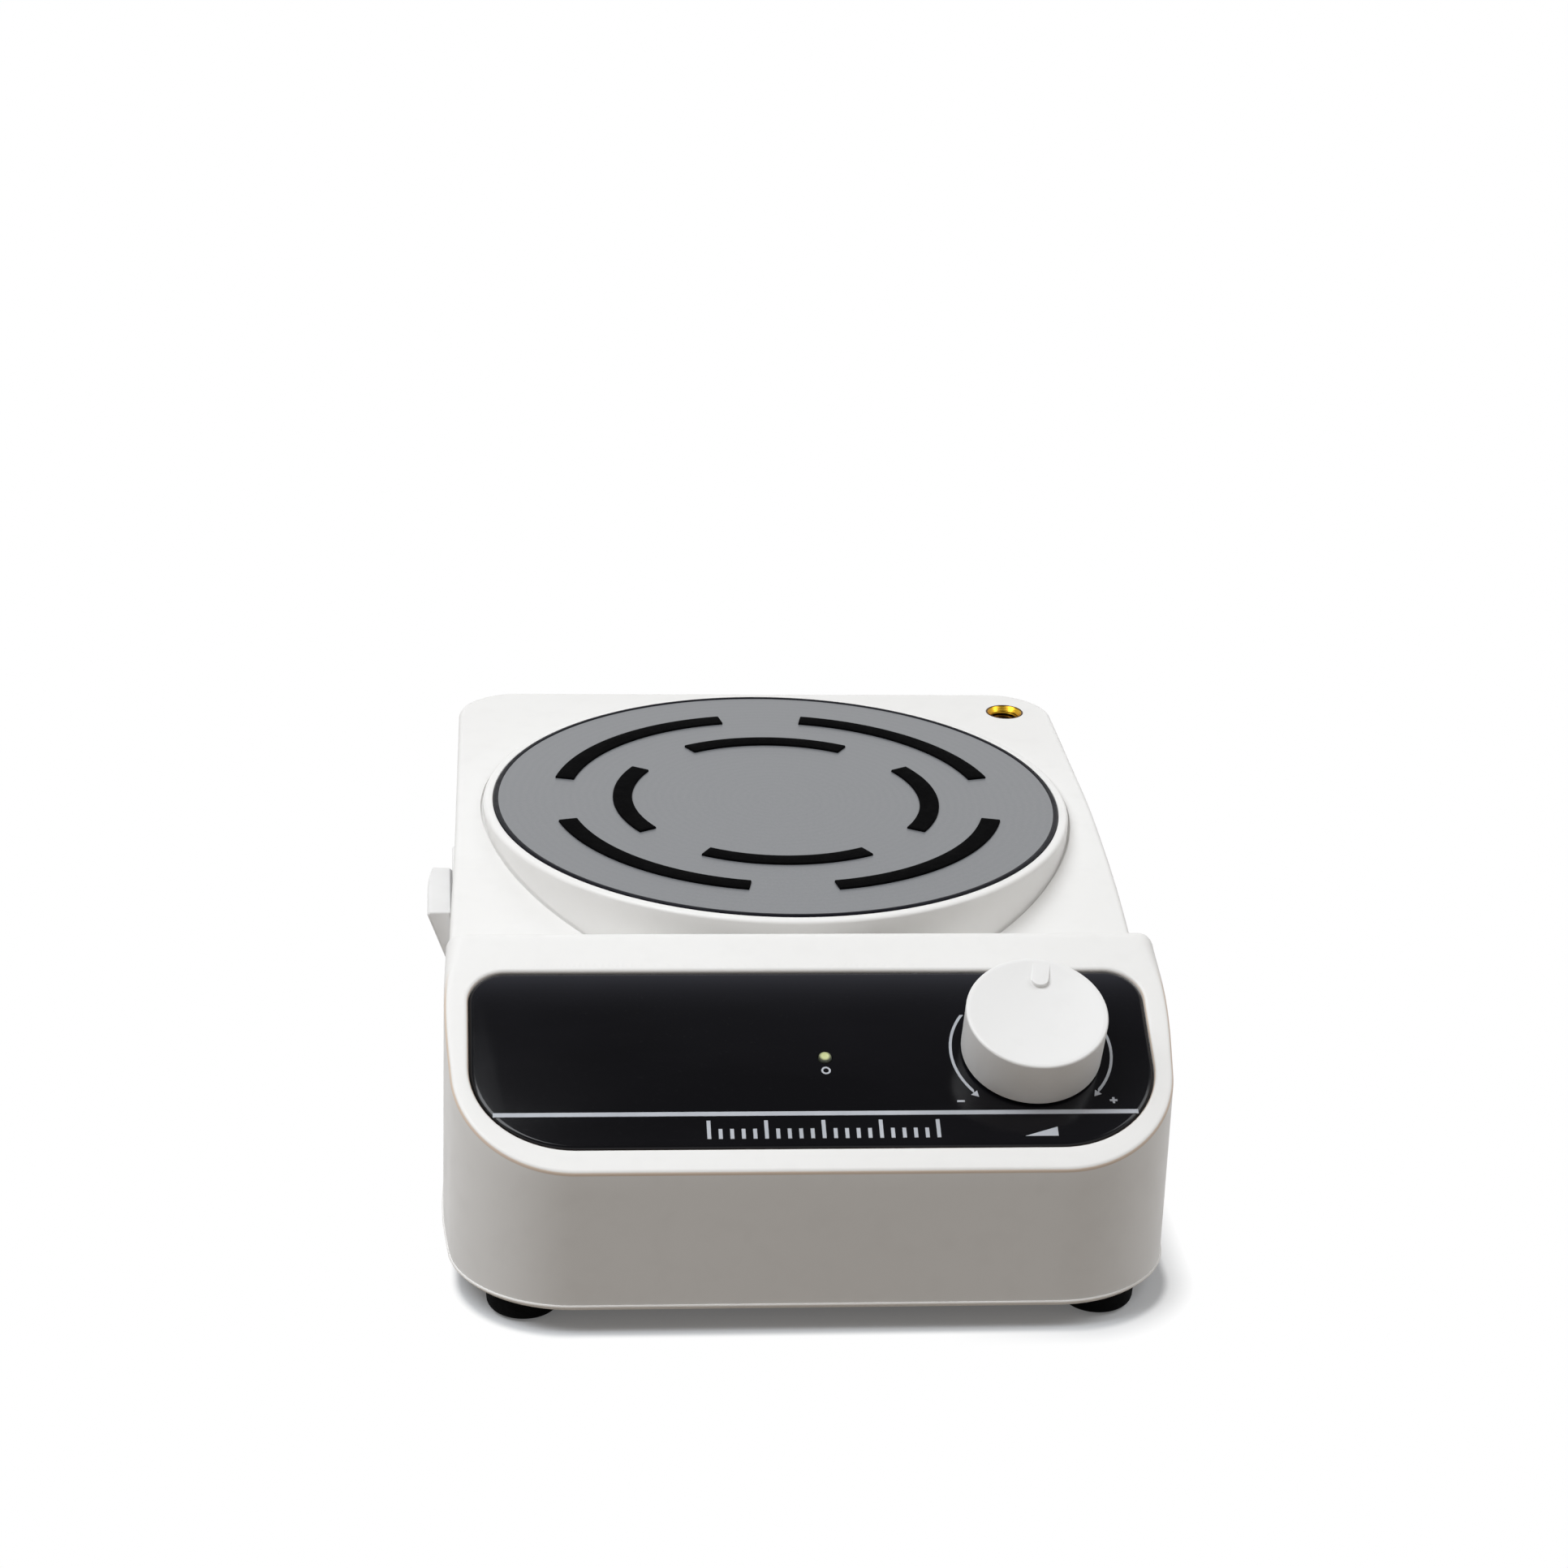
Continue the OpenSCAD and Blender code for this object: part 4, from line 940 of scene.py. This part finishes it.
winding = {"colour": (0.45, 0.16, 0.05), "shade": (0.2, 0.06, 0.02), "turns": 700.0, "wander": 0.6,
           "rough": (0.5, 0.3), "metallic": 0.4, "relief": 0.5, "deep": 0.0001}


def woundFinish(where, s):
    # enamelled copper turns: close parallel lines with a shiny lacquer
    inputs = {"Vector": where, "Scale": s["turns"], "Distortion": s["wander"]}
    turns = addNode("TexWave", inputs, bands_direction="Z")["Fac"]
    return {
        "Base Color": blendColours(turns, s["shade"], s["colour"]), "Metallic": s["metallic"],
        "Roughness": spread(turns, *s["rough"], 0, 1), "Normal": relief(turns, s["relief"], s["deep"])}


makers = [(mouldedFinish, mouldedLooks), (metalFinish, metalLooks), (filmFinish, {"panelFilm": panelFilm}),
          (plateFinish, {"plateCoat": plateCoat}), (brassFinish, {"brass": brass}),
          (lensFinish, {"lampLens": lampLens}), (woundFinish, {"winding": winding})]
finishes = {}
for make, looks in makers:
    for name, look in looks.items():
        finishes[name], shader, where = newFinish(name)
        plug(shader, make(where, look))
print(len(finishes), "finishes")

for piece, finish in dressed:
    piece.data.materials.clear()
    piece.data.materials.append(finishes[finish])

nodeFinish = {
    "baseShell": ["base_cover"], "plateCoat": ["stir_plate"], "printGrey": ["panel_marks"],
    "lampLens": ["lamp"],
    "steel": ["foot_screws", "socket_screw", "pot_shaft", "pot_washer", "pot_nut", "motor_shaft",
              "holder_set_screw", "bracket_screws", "motor_screws", "board_screws", "inlet_nut"],
    "nickel": ["stir_magnets", "pot_bushing"], "pinBrass": ["switch_terminals", "inlet_contacts"],
    "potGreen": ["pot_body"], "canSteel": ["motor_can"], "capPlastic": ["motor_end_cap", "wire_connectors"],
    "bronze": ["motor_bearings"], "ferrite": ["field_magnets"], "winding": ["armature"],
    "holderPlastic": ["magnet_holder"], "zincSheet": ["motor_bracket"], "boardGreen": ["control_board"],
    "sleeveBlue": ["board_capacitors"], "partBlack": ["drive_transistor"], "sinkAlu": ["heat_sink"],
    "leadRed": ["lead_supply", "lead_switched"], "leadBlack": ["lead_return"], "leadBlue": ["leads_motor"],
}
for finish, names in nodeFinish.items():
    for name in names:
        for holder in nodes[name].material_slots:
            holder.material = finishes[finish]

# studio: pale floor that keeps the contact shadow, white for whatever looks past it, and two long soft lamps
# overhead, each with its name, place, size, aim and power
studio = {
    "floor": 2.5, "tone": (0.25, 0.222, 0.198), "middle": (0.0032, 0, 0), "near": (0.0527, 0.0807, 0),
    "fadeFrom": 0.0226, "fadeTo": 0.0251, "haloTo": 0.0298, "haloX": (0.03, 0.062), "halo": 0.42,
    "shade": (0.6076, 0.62, 0.6386), "grain": 900.0, "grainDark": 0.96, "lift": 0.1,
    "liftTone": (0.99, 1.0, 1.01),
    "fill": (0.258, 0.242, 0.221), "above": 0.16, "horizon": (0.45, 0.75), "lampTone": (0.944, 0.971, 1.0),
    "lamps": [
        ("leftStrip", (-0.5, -0.14, 0.98), (0.5, 0.8), (0, 0.0, 0.04), 9.3),
        ("rightStrip", (0.82, -0.1, 0.92), (0.45, 0.8), (0, 0.0, 0.04), 4.4),
    ],
}


def addFloor(s):
    # shade and grain near the object, lifted by a constant glow of painted light; white beyond a rounded box
    # about it; matt rays see plain paper
    size = s["floor"]
    mesh = bpy.data.meshes.new("floor")
    mesh.from_pydata([(x, y, 0) for x, y in boxCorners(-size, -size, size, size)], [], [(0, 1, 2, 3)])
    addObject("floor", mesh)
    mat, shader, where = newFinish("floorPaper")
    tree = mat.node_tree
    tree.nodes.remove(shader)
    off = vectorMath(where, s["middle"], "SUBTRACT")["Vector"]
    off = vectorMath(off, (0, 0, 0), "ABSOLUTE")["Vector"]
    past = vectorMath(off, s["near"], "SUBTRACT")["Vector"]
    away = distance(vectorMath(past, (0, 0, 0), "MAXIMUM")["Vector"])
    fade = spread(away, 0, 1, s["fadeFrom"], s["fadeTo"], interpolation_type="SMOOTHSTEP")
    onRight = spread(reading(where, "X"), 0, s["halo"], *s["haloX"])
    halo = combine(spread(away, 1, 0, s["fadeTo"], s["haloTo"]), onRight, "MULTIPLY")
    kept = combine(1, halo, "SUBTRACT")  # a faint halo stays on the right
    gone = combine(fade, kept, "MULTIPLY")
    dark = tuple(s["grainDark"] * c for c in s["shade"])
    tone = blendColours(noise(where, s["grain"]), s["shade"], dark)
    shade = addNode("BsdfDiffuse", {"Color": tone})[0]
    # painted light: a constant glow lifts the floor's shadow near the object
    haze = addNode("Emission", {"Color": (*s["liftTone"], 1), "Strength": s["lift"]}, tree)[0]
    dusk = addNode("AddShader", {0: shade, 1: haze})[0]
    white = addNode("Emission", {}, tree)[0]
    seen = addNode("MixShader", {0: gone, 1: dusk, 2: white})[0]
    paper = addNode("BsdfDiffuse", {"Color": (*s["tone"], 1)}, tree)[0]
    path = addNode("LightPath", {}, tree)
    looks = combine(path["Is Camera Ray"], path["Is Glossy Ray"], "MAXIMUM")
    looks = combine(looks, path["Is Transmission Ray"], "MAXIMUM")
    pick = addNode("MixShader", {0: looks, 1: paper, 2: seen})[0]
    plug(tree.nodes["Material Output"], {"Surface": pick})
    mesh.materials.append(mat)


def addWorld(s):
    # soft warm fill for matt light; white to the camera; in the gloss a white horizon under a dim ceiling
    world = bpy.data.worlds.new("studioRoom")
    scene.world = world
    world.use_nodes = True
    tree = world.node_tree
    tree.nodes.clear()
    path = addNode("LightPath", {}, tree)
    up = reading(addNode("TexCoord", {}, tree)["Generated"], "Z")
    room = blendColours(spread(up, 0, 1, *s["horizon"]), (1.0, 1.0, 1.0), (s["above"],) * 3)
    shiny = combine(path["Is Glossy Ray"], path["Is Transmission Ray"], "MAXIMUM")
    tone = blendColours(shiny, s["fill"], room)
    tone = blendColours(path["Is Camera Ray"], tone, (1.0, 1.0, 1.0))
    glow = addNode("Background", {"Color": tone})[0]
    addNode("OutputWorld", {"Surface": glow})


def addLamps(s):
    # rectangles of light, each turned towards its aim
    for name, at, size, aim, power in s["lamps"]:
        data = bpy.data.lights.new(name, "AREA")
        data.shape = "RECTANGLE"
        data.size, data.size_y = size
        data.energy = power
        data.color = s["lampTone"]
        lamp = addObject(name, data)
        lamp.location = at
        lamp.rotation_euler = (Vector(aim) - Vector(at)).to_track_quat("-Z", "Y").to_euler()


addFloor(studio)
addWorld(studio)
addLamps(studio)
print("studio set")

bpy.context.view_layer.update()
